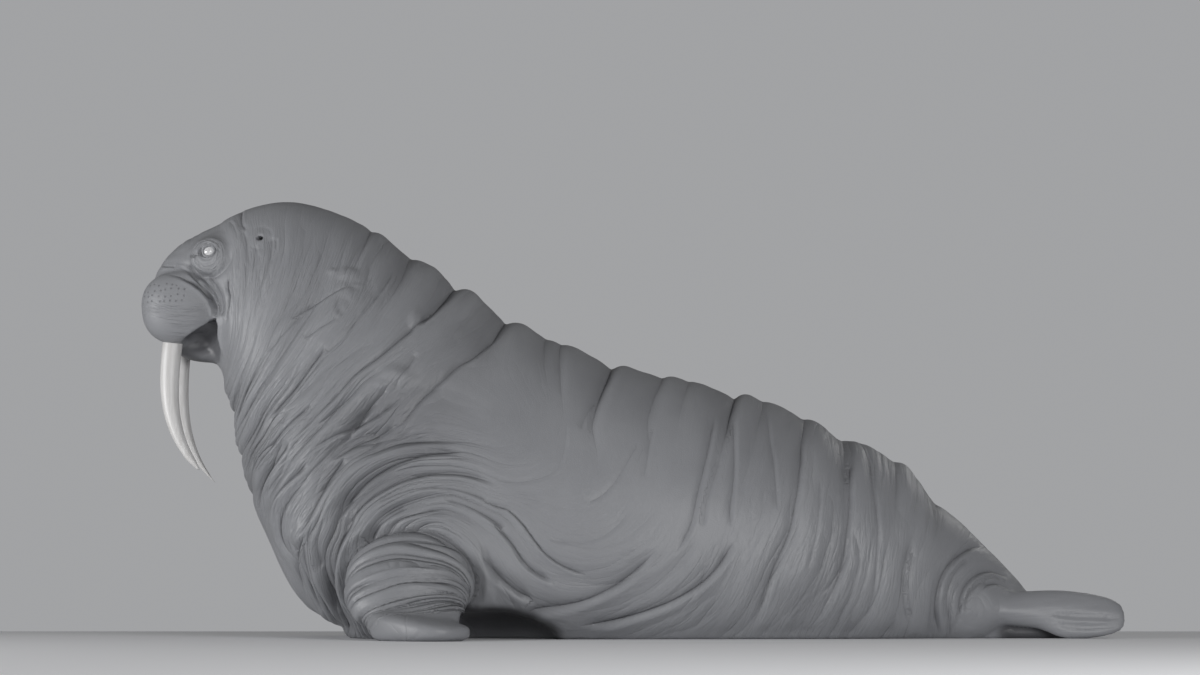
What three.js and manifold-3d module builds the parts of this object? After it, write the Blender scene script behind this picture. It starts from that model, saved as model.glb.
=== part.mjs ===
// A life-size walrus lying on its belly with its head and chest raised, in millimetres.
// +Z is up, the head points along -X, the animal's left side is towards -Y, and the floor is at z = 0.
import * as THREE from "three";
import { ParametricGeometry } from "three/addons/geometries/ParametricGeometry.js";
import { mergeVertices } from "three/addons/utils/BufferGeometryUtils.js";
import Module from "manifold-3d";

const wasm = await Module();
wasm.setup();

const GAP = 0.3; // between nodes that touch
const LEFT = -1;
const RIGHT = 1;
const SIDES = [["left", LEFT], ["right", RIGHT]];

// Cross-sections of the trunk from snout to hock: the point on the back, the point on the throat or belly,
// each as [x, z], and half the width. A belly point below the floor gives the width that lies flat on it.
const SECTIONS = [
  { at: "snout", top: [-1540, 1165], low: [-1540, 1135], half: 20 },
  { at: "nose", top: [-1518, 1262], low: [-1525, 1050], half: 82 },
  { at: "bridge", top: [-1448, 1332], low: [-1450, 985], half: 106 },
  { at: "eyes", top: [-1356, 1372], low: [-1385, 925], half: 140 },
  { at: "ears", top: [-1240, 1428], low: [-1335, 880], half: 186 },
  { at: "crown", top: [-1095, 1445], low: [-1306, 790], half: 226 },
  { at: "nape", top: [-905, 1388], low: [-1270, 622], half: 282 },
  { at: "neck", top: [-745, 1300], low: [-1232, 470], half: 335 },
  { at: "withers", top: [-585, 1198], low: [-1153, 300], half: 388 },
  { at: "shoulder", top: [-390, 1062], low: [-1030, 105], half: 436 },
  { at: "breast", top: [-190, 966], low: [-800, -35], half: 464 },
  { at: "barrel", top: [10, 888], low: [-430, -62], half: 476 },
  { at: "belly", top: [256, 838], low: [-20, -66], half: 472 },
  { at: "waist", top: [480, 776], low: [330, -62], half: 448 },
  { at: "loin", top: [703, 680], low: [620, -52], half: 406 },
  { at: "hip", top: [880, 586], low: [830, -38], half: 344 },
  { at: "rump", top: [1045, 446], low: [985, -22], half: 272 },
  { at: "tail_root", top: [1190, 296], low: [1125, -4], half: 195 },
  { at: "hock", top: [1290, 190], low: [1235, 14], half: 120 },
  { at: "end", top: [1340, 120], low: [1335, 100], half: 10 },
];
const LAST = SECTIONS.length - 1;
const ROUND = 2.0; // exponent of a section's upper half and of the whole head, 2 is an ellipse
const FULL = 2.7; // exponent of the lower half of a trunk section
const DROOP = 0.14; // how much wider a trunk section is low down than high up
const FULL_FROM = 4; // the section where the trunk starts to fill out
const FULL_OVER = 5; // and the number of sections over which it does

// Creases across the back: where each one crosses the spine, and how deep it is
const CREASES = [
  { x: -843, depth: 12 },
  { x: -700, depth: 9 },
  { x: -552, depth: 31 },
  { x: -383, depth: 25 },
  { x: -205, depth: 9 },
  { x: -33, depth: 22 },
  { x: 130, depth: 9 },
  { x: 367, depth: 28 },
  { x: 597, depth: 11 },
  { x: 733, depth: 13 },
  { x: 889, depth: 15 },
  { x: 1038, depth: 9 },
];
const CREASE_AHEAD = 60; // how far ahead of a crease the skin starts to dip
const CREASE_BEHIND = 26; // how soon behind it the skin is full again
const CREASE_SIDE = 0.5; // share of the dip that also narrows the section
const CREASE_LOW = -0.35; // cosine of the angle round the trunk at which a crease has faded out
const CREASE_HIGH = 0.85; // and at which it has its full depth

// Planes that part the trunk into nodes, each through a point of the back and one of the belly
const CUT_HEAD = { top: [-1010, 1432], low: [-1318, 745] };
const CUT_NECK = { top: [-570, 1195], low: [-1150, 285] };
const CUT_CHEST = { top: [-42, 915], low: [-520, 0] };
const CUT_TORSO = { top: [574, 740], low: [500, 0] };

// Muzzle, mouth and face
const PAD = { x: -1456, y: 74, z: 1080, long: 131, wide: 100, high: 118, tilt: 0.12, square: 0.82 };
const NOSE = { x: -1488, z: 1186, long: 90, wide: 92, high: 68, tilt: 0.85 };
const NOSTRIL = { x: -1548, y: 30, z: 1232, long: 34, wide: 6, high: 15, tilt: -0.8 };
const JAW = { chin: [-1492, 962], throat: [-1300, 946], front: 42, back: 70, high: 46 };
const JAW_ROUND = 0.7; // exponent of the rounding of the jaw's ends
const BOXY = 0.85; // exponent that squares an oval section a little
const LIP = { x: -1440, z: 1006, long: 84, half: 74, roll: 13, turn: 1.1 };
const MOUTH = { x: -1385, z: 998, long: 74, wide: 140, high: 6 };
const ORBIT = { x: -1356, y: 96, z: 1246, long: 80, wide: 52, high: 64, tilt: 0.35 };
const EYE = { x: -1362, y: 128, z: 1256, radius: 26 };
const LID = { out: 17, radius: 23, thick: 6.5, squeeze: 0.84 };
const EAR = { x: -1184, z: 1290, rim: 21, thick: 14 };
const EAR_HOLE = { long: 10, wide: 17, high: 7, out: 10, tilt: 0.2 };

// Tusks: they hang from under the pads and curve back. The right one is a little longer and sharper.
const TUSK = { x: -1480, y: 60, top: 1010, long: 33, wide: 27 };
const TUSK_LEFT = { drop: 470, back: 96, spread: 32, tip: 0.34 };
const TUSK_RIGHT = { drop: 500, back: 112, spread: 50, tip: 0.06 };
const TUSK_BOW = 67; // how far the front of a tusk bows forwards on its way down
const TUSK_TAPER = 2.6; // exponent of the taper towards the tip
const TUSK_ROUND = { share: 0.07, by: 0.6 }; // the length over which the tip is rounded, and how much

// Forelimb: a loose sleeve of skin from the chest to the wrist, then the flat hand
const ARM = [
  { at: [-644, -300, 216], along: 200, up: 172 },
  { at: [-652, -430, 184], along: 200, up: 144 },
  { at: [-654, -520, 136], along: 190, up: 108 },
  { at: [-648, -572, 92], along: 168, up: 76 },
  { at: [-640, -596, 62], along: 148, up: 52 },
  { at: [-634, -606, 44], along: 112, up: 36 },
];
const ARM_LEAN = [0.4, 0.7]; // how far a section of the arm tips outwards, at the chest and at the wrist
const ARM_CAP = 14; // how sharply the ends of the arm are rounded
const ARM_RINGS = 6;
const ARM_RING_DEPTH = 7;
const HAND = { x: -608, y: -646, turn: -34, long: 166, half: 118, wrist: 54, tip: 28 };
const HAND_SPREAD = [0.86, 1.06]; // relative width at the wrist and at the tips
const HAND_ROUND = 0.5; // exponent of the rounding of the hand's edge
const HAND_BOXY = 0.8; // exponent that squares its outline
const HAND_FLAT = 0.6; // exponent that flattens its back
const HAND_SHORT = 62; // how much shorter the innermost digit is
const HAND_REST = 0.86; // height of the hand's widest level above the floor, in half thicknesses
const DIGITS = 5;
const DIGIT_LOBE = 6; // how far the tips of the digits stand out
const DIGIT_GROOVE = 0.03; // share of the thickness lost between digits

// The hollow under the flank, behind the arm
const ARM_HOLLOW = { x: -450, y: 440, z: 0, long: 245, wide: 300, high: 80 };

// Hind limb: the ankle swells out of the rump, and the folded flipper trails behind it on its edge
const ANKLE = { x: 1086, y: 164, z: 92, long: 128, wide: 80, high: 90 };
const SOLE = { start: [1085, 176, 86], end: [1588, 206, 68], half: 84, thick: 52, lean: 22, lobe: 14 };
const SOLE_RAISED = { share: 0.6, from: 0.42, over: 0.22 }; // its lower half near the ankle is less high
const SOLE_ROOT = 0.72; // relative width at the ankle
const SOLE_OPEN = 1.4; // how soon behind the ankle the flipper has its full width
const SOLE_ROUND = 0.55; // exponent of the rounding of the flipper's end
const HEEL = { x: 1270, y: 105, z: 20, long: 190, wide: 70, high: 50 }; // its low inner side
const SOLE_DIGITS = { from: 0.35, over: 0.4, below: 0.1, fade: 0.3 }; // where its digits show, along and up
const TAIL = { start: 1230, end: 1400, half: 66, thick: 30, z: 120, drop: 30 };

// Columns and rows of the surfaces
const TRUNK_GRID = [32, 44];
const CREASE_ROWS = [0, 16]; // extra rows of the trunk, from each crease backwards
const PAD_GRID = [22, 14];
const BULGE_GRID = [18, 10];
const EYE_GRID = [14, 9];
const FINE_GRID = [12, 7];
const RING_GRID = [6, 16];
const TUSK_GRID = [12, 16];
const ARM_GRID = [18, 15];
const HAND_GRID = [44, 9];
const SOLE_GRID = [20, 14];
const MERGE = 1e-3; // points nearer than this are one
const HALVINGS = 40; // steps of the search for a place along the trunk

const TURN = 2 * Math.PI;
const clamp01 = (t) => Math.min(1, Math.max(0, t));
const smooth = (t) => clamp01(t) ** 2 * (3 - 2 * clamp01(t));
const mix = (a, b, t) => a + (b - a) * t;
const power = (t, e) => Math.sign(t) * Math.abs(t) ** e;
// From 0 to 1, slowly at both ends, so that rows crowd where a form closes
const ease = (v) => (1 - Math.cos(v * Math.PI)) / 2;

// One number of a list at a fractional place, by a Catmull-Rom curve through its values.
function curve(values, place) {
  const last = values.length - 1;
  const i = Math.min(last - 1, Math.max(0, Math.floor(place)));
  const t = place - i;
  const [a, b] = [values[Math.max(0, i - 1)], values[i]];
  const [c, d] = [values[i + 1], values[Math.min(last, i + 2)]];
  return (2 * b + (c - a) * t + (2 * a - 5 * b + 4 * c - d) * t * t + (3 * b - a - 3 * c + d) * t ** 3) / 2;
}

const TRACKS = {
  topX: SECTIONS.map((s) => s.top[0]),
  topZ: SECTIONS.map((s) => s.top[1]),
  lowX: SECTIONS.map((s) => s.low[0]),
  lowZ: SECTIONS.map((s) => s.low[1]),
  half: SECTIONS.map((s) => s.half),
};

// The cross-section at a fractional place along the list of sections.
function section(place) {
  const s = Object.fromEntries(Object.entries(TRACKS).map(([k, v]) => [k, curve(v, place)]));
  const body = smooth((place - FULL_FROM) / FULL_OVER);
  return { ...s, full: mix(ROUND, FULL, body), droop: DROOP * body };
}

// The place along the list of sections where a test first holds.
function placeWhere(holds) {
  let [a, b] = [0, LAST];
  for (let i = 0; i < HALVINGS; i++) {
    const m = (a + b) / 2;
    if (holds(m)) b = m;
    else a = m;
  }
  return a;
}

// Places of the rows of the trunk: even ones, and a pair at each crease so that its edge is sharp.
const ROW_PLACES = [
  ...Array.from({ length: TRUNK_GRID[1] + 1 }, (_, i) => (i / TRUNK_GRID[1]) * LAST),
  ...CREASES.flatMap((c) => CREASE_ROWS.map((d) => placeWhere((p) => curve(TRACKS.topX, p) > c.x + d))),
].sort((a, b) => a - b);

// How far the skin dips at a crease, by the distance from where it crosses the spine.
function creaseDip(x) {
  let dip = 0;
  for (const c of CREASES) {
    const away = x - c.x;
    dip += c.depth * Math.exp(-Math.abs(away) / (away > 0 ? CREASE_BEHIND : CREASE_AHEAD));
  }
  return dip;
}

// A point of the trunk: angle 0 is the back, half a turn the belly, and the floor flattens it.
function trunkPoint(angle, place, grow, target) {
  const s = section(place);
  const open = place > 0 && place < LAST ? 1 : 0;
  const [c, w] = [Math.cos(angle) * open, Math.sin(angle) * open];
  const exponent = c > 0 ? ROUND : s.full;
  const h = power(c, 2 / exponent);
  const side = power(w, 2 / exponent) * (1 - s.droop * h);
  const tall = Math.hypot(s.topX - s.lowX, s.topZ - s.lowZ) / 2;
  const dip = creaseDip(s.topX) * smooth((c - CREASE_LOW) / (CREASE_HIGH - CREASE_LOW));
  const rise = ((tall + grow - dip) * h) / (2 * tall);
  const x = (s.topX + s.lowX) / 2 + (s.topX - s.lowX) * rise;
  const z = (s.topZ + s.lowZ) / 2 + (s.topZ - s.lowZ) * rise;
  return target.set(x, (s.half + grow - dip * CREASE_SIDE) * side, Math.max(-grow, z));
}

// The half width of the trunk at a point of its side view.
function flank(x, z) {
  const past = (place) => {
    const s = section(place);
    return (s.topX - s.lowX) * (z - s.lowZ) - (s.topZ - s.lowZ) * (x - s.lowX) > 0;
  };
  const s = section(placeWhere(past));
  const tall2 = (s.topX - s.lowX) ** 2 + (s.topZ - s.lowZ) ** 2;
  const t = ((x - s.lowX) * (s.topX - s.lowX) + (z - s.lowZ) * (s.topZ - s.lowZ)) / tall2;
  const h = 2 * t - 1;
  const exponent = h > 0 ? ROUND : s.full;
  return s.half * (1 - Math.abs(h) ** exponent) ** (1 / exponent) * (1 - s.droop * h);
}

// A closed surface point(u, v, target) as a solid, with u going round it and v from pole to pole.
function solid(point, [columns, rows]) {
  const g = new ParametricGeometry(point, columns, rows);
  g.deleteAttribute("normal");
  g.deleteAttribute("uv");
  const merged = mergeVertices(g, MERGE);
  const at = merged.index.array;
  const triangles = [];
  for (let i = 0; i < at.length; i += 3) {
    const [a, b, c] = [at[i], at[i + 1], at[i + 2]];
    if (a !== b && b !== c && a !== c) triangles.push([a, b, c]);
  }
  const build = (list) =>
    new wasm.Manifold(
      new wasm.Mesh({
        numProp: 3,
        vertProperties: merged.attributes.position.array,
        triVerts: new Uint32Array(list.flat()),
      }),
    );
  const made = build(triangles);
  return made.volume() > 0 ? made : build(triangles.map(([a, b, c]) => [a, c, b]));
}

// The largest closed surface of a solid, without the scraps that a cut leaves.
const largest = (made) => made.decompose().reduce((a, b) => (a.volume() > b.volume() ? a : b));

const trunk = (grow) =>
  solid(
    (u, v, t) => trunkPoint(u * TURN, ROW_PLACES[Math.round(v * (ROW_PLACES.length - 1))], grow, t),
    [TRUNK_GRID[0], ROW_PLACES.length - 1],
  );

// The part of a solid on the tail side (keep = 1) or head side (keep = -1) of a cut, half a gap short of it.
function beside(made, cut, keep) {
  const [dx, dz] = [cut.top[0] - cut.low[0], cut.top[1] - cut.low[1]];
  const l = Math.hypot(dx, dz);
  const normal = [(dz / l) * keep, 0, (-dx / l) * keep];
  return made.trimByPlane(normal, normal[0] * cut.low[0] + normal[2] * cut.low[1] + GAP / 2);
}

// An ellipsoid on one side of the animal, with half sizes long, wide and high, tilted in the side view.
// A form's square, below 1, is the power of each sine and cosine, and fills out its corners.
function ellipsoid(form, side, grow, grid) {
  const [c, s] = [Math.cos(form.tilt ?? 0), Math.sin(form.tilt ?? 0)];
  const square = form.square ?? 1;
  return solid((u, v, t) => {
    const ring = Math.abs(Math.sin(v * Math.PI)) ** square;
    const a = (form.long + grow) * ring * power(Math.cos(u * TURN), square);
    const b = (form.high + grow) * ring * power(Math.sin(u * TURN), square);
    const y = side * (form.y ?? 0) - (form.wide + grow) * power(Math.cos(v * Math.PI), square);
    t.set(form.x + a * c - b * s, y, form.z + a * s + b * c);
  }, grid);
}

// The lower jaw: narrow at the chin, where it passes between the tusks, and running back into the throat.
function jaw() {
  return solid((u, v, t) => {
    const round = Math.sin(v * Math.PI) ** JAW_ROUND;
    t.set(
      mix(JAW.chin[0], JAW.throat[0], ease(v)),
      mix(JAW.front, JAW.back, smooth(ease(v))) * round * power(Math.cos(u * TURN), BOXY),
      mix(JAW.chin[1], JAW.throat[1], ease(v)) + JAW.high * round * power(Math.sin(u * TURN), BOXY),
    );
  }, BULGE_GRID);
}

// The lower lip: a roll of skin round the front of the jaw, in the shape of a horseshoe.
function lip() {
  return solid((u, v, t) => {
    const a = (v - 0.5) * LIP.turn * Math.PI;
    const roll = v > 0 && v < 1 ? LIP.roll : 0;
    const out = 1 + (roll * Math.cos(u * TURN)) / LIP.half;
    const z = LIP.z + roll * Math.sin(u * TURN);
    t.set(LIP.x - LIP.long * Math.cos(a) * out, LIP.half * Math.sin(a) * out, z);
  }, RING_GRID);
}

// A tusk: an oval section carried down a path that bends back and outwards, tapering to its tip.
function tusk(side, size, grow) {
  return solid((u, v, t) => {
    const round = 1 - smooth((v - 1) / TUSK_ROUND.share + 1) * TUSK_ROUND.by;
    const taper = v > 0 && v < 1 ? mix(1, size.tip, v ** TUSK_TAPER) * round : 0;
    t.set(
      TUSK.x + size.back * v ** 4 - TUSK_BOW * v * (1 - v) + (TUSK.long + grow) * taper * Math.cos(u * TURN),
      side * (TUSK.y + size.spread * v) + (TUSK.wide + grow) * taper * Math.sin(u * TURN),
      TUSK.top - size.drop * v + (v > 0.5 ? -grow : grow),
    );
  }, TUSK_GRID);
}

// An eyelid ring: round in section, squeezed to a slant oval in the side view.
function lid(side) {
  return solid((u, v, t) => {
    const r = LID.radius + LID.thick * Math.cos(u * TURN);
    const y = side * (EYE.y + LID.out) + LID.thick * Math.sin(u * TURN);
    t.set(EYE.x + r * Math.cos(v * TURN), y, EYE.z + r * LID.squeeze * Math.sin(v * TURN));
  }, RING_GRID);
}

// The sleeve of the forelimb: an oval carried from the chest to the wrist, with rings of folded skin.
function arm(side, grow) {
  const [xs, ys, zs] = [0, 1, 2].map((i) => ARM.map((a) => a.at[i]));
  const [alongs, ups] = [ARM.map((a) => a.along), ARM.map((a) => a.up)];
  return solid((u, v, t) => {
    const place = v * (ARM.length - 1);
    const round = Math.min(1, Math.sqrt(Math.min(v, 1 - v) * ARM_CAP));
    const more = ARM_RING_DEPTH * Math.abs(Math.sin(ARM_RINGS * Math.PI * v)) + grow;
    const along = (curve(alongs, place) + more) * round * Math.cos(u * TURN);
    const up = (curve(ups, place) + more) * round * Math.sin(u * TURN);
    const lean = mix(ARM_LEAN[0], ARM_LEAN[1], v);
    t.set(
      curve(xs, place) + along,
      -side * (curve(ys, place) - up * lean),
      Math.max(-grow, curve(zs, place) + up * Math.sqrt(1 - lean * lean)),
    );
  }, ARM_GRID);
}

// How near a point across a hand or foot is to the line between two digits: 1 on the line, 0 on a digit.
const between = (across) => Math.cos(((across + 1) * DIGITS * Math.PI) / 2) ** 2;

// The hand: a flat paddle on the floor, turned out and back, with the inner ones of its digits shorter.
function hand(side) {
  const turn = THREE.MathUtils.degToRad(HAND.turn);
  const [c, s] = [Math.cos(turn), Math.sin(turn)];
  return solid((u, v, t) => {
    const ring = Math.sin(v * Math.PI) ** HAND_ROUND;
    const across = power(Math.sin(u * TURN), HAND_BOXY) * ring;
    const forward = power(Math.cos(u * TURN), HAND_BOXY) * ring;
    const reach = smooth(forward);
    const lobe = DIGIT_LOBE * (1 / 2 - between(across)) - HAND_SHORT * Math.max(0, across) ** 2;
    const a = HAND.long * forward + reach * lobe;
    const b = HAND.half * across * mix(HAND_SPREAD[0], HAND_SPREAD[1], (forward + 1) / 2);
    const thick = mix(HAND.wrist, HAND.tip, smooth((forward + 1) / 2));
    const groove = 1 - DIGIT_GROOVE * between(across) * reach;
    t.set(
      HAND.x + a * c - b * s,
      -side * (HAND.y + a * s + b * c),
      Math.max(0, thick * groove * (HAND_REST - power(Math.cos(v * Math.PI), HAND_FLAT))),
    );
  }, HAND_GRID);
}

// The hind flipper: a folded fan that trails back on its edge, its digits showing along the lower side.
function sole(side) {
  const lean = THREE.MathUtils.degToRad(SOLE.lean);
  const shown = SOLE_DIGITS;
  return solid((u, v, t) => {
    const along = ease(v);
    const round = Math.sin(v * Math.PI) ** SOLE_ROUND;
    const upper = Math.sin(u * TURN);
    const spread = smooth((along - SOLE_RAISED.from) / SOLE_RAISED.over);
    const low = upper < 0 ? mix(SOLE_RAISED.share, 1, spread) : 1;
    const b = SOLE.half * round * mix(SOLE_ROOT, 1, smooth(along * SOLE_OPEN)) * upper * low;
    const edge = smooth((along - shown.from) / shown.over) * smooth((shown.below - upper) / shown.fade);
    const thick = mix(SOLE.thick, SOLE.thick / 2, along) - SOLE.lobe * between(upper) * edge;
    const w = thick * round * Math.cos(u * TURN);
    t.set(
      mix(SOLE.start[0], SOLE.end[0], along),
      side * (mix(SOLE.start[1], SOLE.end[1], along) + w * Math.cos(lean) - b * Math.sin(lean)),
      Math.max(0, mix(SOLE.start[2], SOLE.end[2], along) + b * Math.cos(lean) + w * Math.sin(lean)),
    );
  }, SOLE_GRID);
}

// The short tail: a flat tab between the hind flippers.
function tail() {
  return solid((u, v, t) => {
    const along = ease(v);
    const round = Math.sin(v * Math.PI) ** JAW_ROUND;
    t.set(
      mix(TAIL.start, TAIL.end, along),
      TAIL.half * round * Math.cos(u * TURN),
      TAIL.z - TAIL.drop * along + TAIL.thick * round * Math.sin(u * TURN),
    );
  }, BULGE_GRID);
}

// The ear: no outer ear, only a low rim of skin round a small hole.
const earY = flank(EAR.x, EAR.z);
const earForm = { x: EAR.x, y: earY, z: EAR.z, long: EAR.rim, wide: EAR.thick, high: EAR.rim };
const earHole = { ...EAR_HOLE, x: EAR.x, y: earY + EAR_HOLE.out, z: EAR.z };
const earRim = (side, grow) => ellipsoid(earForm, side, grow, EYE_GRID);

const eyeForm = { ...EYE, long: EYE.radius, wide: EYE.radius, high: EYE.radius };
const eye = (side, grow) => ellipsoid(eyeForm, side, grow, EYE_GRID);
const pad = (side, grow) => ellipsoid(PAD, side, grow, PAD_GRID);
const nose = (grow) => ellipsoid(NOSE, RIGHT, grow, BULGE_GRID);
const nostril = (side) => ellipsoid(NOSTRIL, side, 0, FINE_GRID);
const ankle = (side, grow) => ellipsoid(ANKLE, side, grow, BULGE_GRID);
const heel = (side) => ellipsoid(HEEL, side, 0, FINE_GRID).trimByPlane([0, 0, 1], 0);

const hollow = (side, grow) => ellipsoid(ARM_HOLLOW, side, grow, ARM_GRID);
const hollows = (grow) => hollow(LEFT, grow).add(hollow(RIGHT, grow));
const flesh = trunk(0).subtract(hollows(0));
const fleshGrown = trunk(GAP).subtract(hollows(-GAP));
const padsGrown = pad(LEFT, GAP).add(pad(RIGHT, GAP));
const tusksGrown = tusk(LEFT, TUSK_LEFT, GAP).add(tusk(RIGHT, TUSK_RIGHT, GAP));

// The head keeps room for the eyes, ears, nose and muzzle pads, and is slit at the corners of the mouth.
function headSolid() {
  let head = beside(flesh, CUT_HEAD, -1);
  for (const side of [LEFT, RIGHT]) {
    head = head.add(ellipsoid(ORBIT, side, 0, EYE_GRID)).add(lid(side));
  }
  for (const side of [LEFT, RIGHT]) {
    head = head.subtract(eye(side, GAP)).subtract(earRim(side, GAP));
  }
  return head.subtract(padsGrown).subtract(nose(GAP)).subtract(ellipsoid(MOUTH, RIGHT, 0, FINE_GRID));
}

const solids = {
  head: headSolid(),
  nose: nose(0).subtract(nostril(LEFT)).subtract(nostril(RIGHT)),
  lower_jaw: jaw().add(lip()).subtract(fleshGrown).subtract(padsGrown).subtract(tusksGrown),
  neck: beside(beside(flesh, CUT_HEAD, 1), CUT_NECK, -1),
  chest: beside(beside(flesh, CUT_NECK, 1), CUT_CHEST, -1),
  torso: beside(beside(flesh, CUT_CHEST, 1), CUT_TORSO, -1),
  rump: beside(flesh, CUT_TORSO, 1),
  tail: tail().subtract(fleshGrown),
  tusk_left: tusk(LEFT, TUSK_LEFT, 0).subtract(padsGrown).subtract(fleshGrown),
  tusk_right: tusk(RIGHT, TUSK_RIGHT, 0).subtract(padsGrown).subtract(fleshGrown),
};
for (const [name, side] of SIDES) {
  solids["muzzle_" + name] = pad(side, 0).trimByPlane([0, side, 0], GAP / 2).subtract(nose(GAP));
  solids["eye_" + name] = eye(side, 0);
  solids["ear_" + name] = earRim(side, 0).subtract(ellipsoid(earHole, side, 0, FINE_GRID));
  solids["forearm_" + name] = arm(side, 0).subtract(fleshGrown);
  solids["foreflipper_" + name] = hand(side).subtract(arm(side, GAP)).subtract(fleshGrown);
  solids["ankle_" + name] = ankle(side, 0).subtract(fleshGrown);
  solids["hindflipper_" + name] = sole(side).add(heel(side)).subtract(ankle(side, GAP)).subtract(fleshGrown);
}

// Colours and gloss by the first word of a node's name; the rest is bare skin
const SKIN = { color: 0x86878c, roughness: 0.72, metalness: 0 };
const LOOKS = {
  tusk: { color: 0xe2e0dc, roughness: 0.45, metalness: 0 },
  eye: { color: 0xd9d9da, roughness: 0.2, metalness: 0 },
  nose: { color: 0x77787d, roughness: 0.65, metalness: 0 },
  muzzle: { color: 0x8a8b90, roughness: 0.7, metalness: 0 },
};

// A solid as a named mesh in the colours of its kind.
function meshOf(name, made) {
  const m = largest(made).getMesh();
  const positions = new Float32Array(m.numVert * 3);
  for (let i = 0; i < m.numVert; i++) {
    positions.set(m.vertProperties.subarray(i * m.numProp, i * m.numProp + 3), i * 3);
  }
  const g = new THREE.BufferGeometry();
  g.setAttribute("position", new THREE.BufferAttribute(positions, 3));
  g.setIndex(new THREE.BufferAttribute(m.triVerts, 1));
  g.computeVertexNormals();
  const mesh = new THREE.Mesh(g, new THREE.MeshStandardMaterial(LOOKS[name.split("_")[0]] ?? SKIN));
  mesh.name = name;
  return mesh;
}

const walrus = new THREE.Group();
for (const [name, made] of Object.entries(solids)) walrus.add(meshOf(name, made));
export default walrus;
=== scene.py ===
"""A life-size walrus lying on its belly, dressed over its packed solids.

The skin is one surface. Trunk, muzzle pads, limbs and tail are surfaces of two parameters. They are turned
into distance fields and blended into one another, and the skin is the zero level of the blend. Folds, creases
and the features of the face are then worked out at its points along a flow of fold lines over the body. All
sizes are in metres, x runs from head to tail, the left side is at negative y, and the floor is at z = 0.
"""

import math

import bpy
import numpy as np
import openvdb
from bpy.props import FloatProperty, FloatVectorProperty, PointerProperty
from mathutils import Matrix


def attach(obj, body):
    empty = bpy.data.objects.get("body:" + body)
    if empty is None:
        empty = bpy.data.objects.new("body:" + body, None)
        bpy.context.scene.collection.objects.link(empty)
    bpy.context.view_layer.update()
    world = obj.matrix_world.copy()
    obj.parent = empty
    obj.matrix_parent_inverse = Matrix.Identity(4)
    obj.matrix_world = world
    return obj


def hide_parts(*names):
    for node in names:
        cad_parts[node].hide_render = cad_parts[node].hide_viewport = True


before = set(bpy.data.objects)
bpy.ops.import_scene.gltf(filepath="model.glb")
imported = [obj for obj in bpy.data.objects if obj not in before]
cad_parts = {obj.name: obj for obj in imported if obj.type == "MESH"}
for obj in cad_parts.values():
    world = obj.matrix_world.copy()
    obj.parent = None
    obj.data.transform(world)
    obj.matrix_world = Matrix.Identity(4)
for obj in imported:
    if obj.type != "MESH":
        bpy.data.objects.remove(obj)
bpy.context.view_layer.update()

bl_info = {
    "name": "Walrus",
    "version": (1, 0, 0),
    "blender": (4, 5, 0),
    "location": "3D View > Sidebar > Walrus",
    "description": "Skin, tusks and eyes of a resting walrus, and a studio stage",
    "category": "Object",
}

# Plan of the body

# Cross-sections of the trunk from snout to hock: back x z, throat or belly x z, half the width.
SECTIONS = (
    ((-1.540, 1.165), (-1.540, 1.135), 0.020),
    ((-1.518, 1.262), (-1.525, 1.050), 0.082),
    ((-1.448, 1.332), (-1.450, 0.985), 0.106),
    ((-1.356, 1.372), (-1.385, 0.925), 0.140),
    ((-1.240, 1.428), (-1.335, 0.880), 0.186),
    ((-1.095, 1.445), (-1.306, 0.790), 0.226),
    ((-0.905, 1.388), (-1.270, 0.622), 0.282),
    ((-0.745, 1.300), (-1.232, 0.470), 0.335),
    ((-0.585, 1.198), (-1.153, 0.300), 0.388),
    ((-0.390, 1.062), (-1.030, 0.105), 0.436),
    ((-0.190, 0.966), (-0.800, -0.035), 0.464),
    ((0.010, 0.888), (-0.430, -0.062), 0.476),
    ((0.256, 0.838), (-0.020, -0.066), 0.472),
    ((0.480, 0.776), (0.330, -0.062), 0.448),
    ((0.703, 0.680), (0.620, -0.052), 0.406),
    ((0.880, 0.586), (0.830, -0.038), 0.344),
    ((1.045, 0.446), (0.985, -0.022), 0.272),
    ((1.190, 0.296), (1.125, -0.004), 0.195),
    ((1.290, 0.190), (1.235, 0.014), 0.120),
    ((1.340, 0.120), (1.335, 0.100), 0.010),
)
ROUND, FULL = 2.0, 2.7  # exponent of a round outline, and of the belly where it is full
FULL_FROM, FULL_OVER = 4, 5  # the section where the belly begins to fill, and over how many it does
DROOP = 0.14  # share of the width that the outline loses from its middle up to the back

# Muzzle and face
PAD = dict(x=-1.456, y=0.074, z=1.080, long=0.131, wide=0.100, high=0.118, tilt=0.12, square=0.82)
NOSE = dict(x=-1.488, y=0.0, z=1.186, long=0.090, wide=0.092, high=0.068, tilt=0.85)
NOSTRIL = (-1.548, 0.030, 1.232)
ORBIT = dict(x=-1.356, y=0.096, z=1.246, long=0.080, wide=0.052, high=0.064, tilt=0.35)
EYE = (-1.362, 0.128, 1.256)
EAR = (-1.188, 0.185, 1.293)
CHIN, THROAT = (-1.492, 0.962), (-1.300, 0.946)  # x and z of the ends of the jaw
JAW = dict(front=0.042, back=0.070, high=0.046, taper=0.7, square=0.85)
LIP = dict(x=-1.440, z=1.006, long=0.084, half=0.074, roll=0.013, turn=1.1, cap=12)

# Tusks: where they leave the lip, half widths there, then drop, sweep back, spread and the share of the width
# that is left at the tip
TUSK_FOOT = (-1.480, 0.060, 1.010)
TUSK_HALF = (0.033, 0.027)
TUSKS = {"left": (0.470, 0.096, 0.032, 0.34), "right": (0.500, 0.112, 0.050, 0.06)}
TUSK_BOW = 0.067  # how far the front bows forwards on the way down
TUSK_TAPER = 2.6  # exponent of the taper
TUSK_TIP = (0.07, 0.6)  # share of the length over which the tip is rounded, and how much of it
TUSK_ROOT = 0.03  # how far the root goes up into the lip

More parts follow.
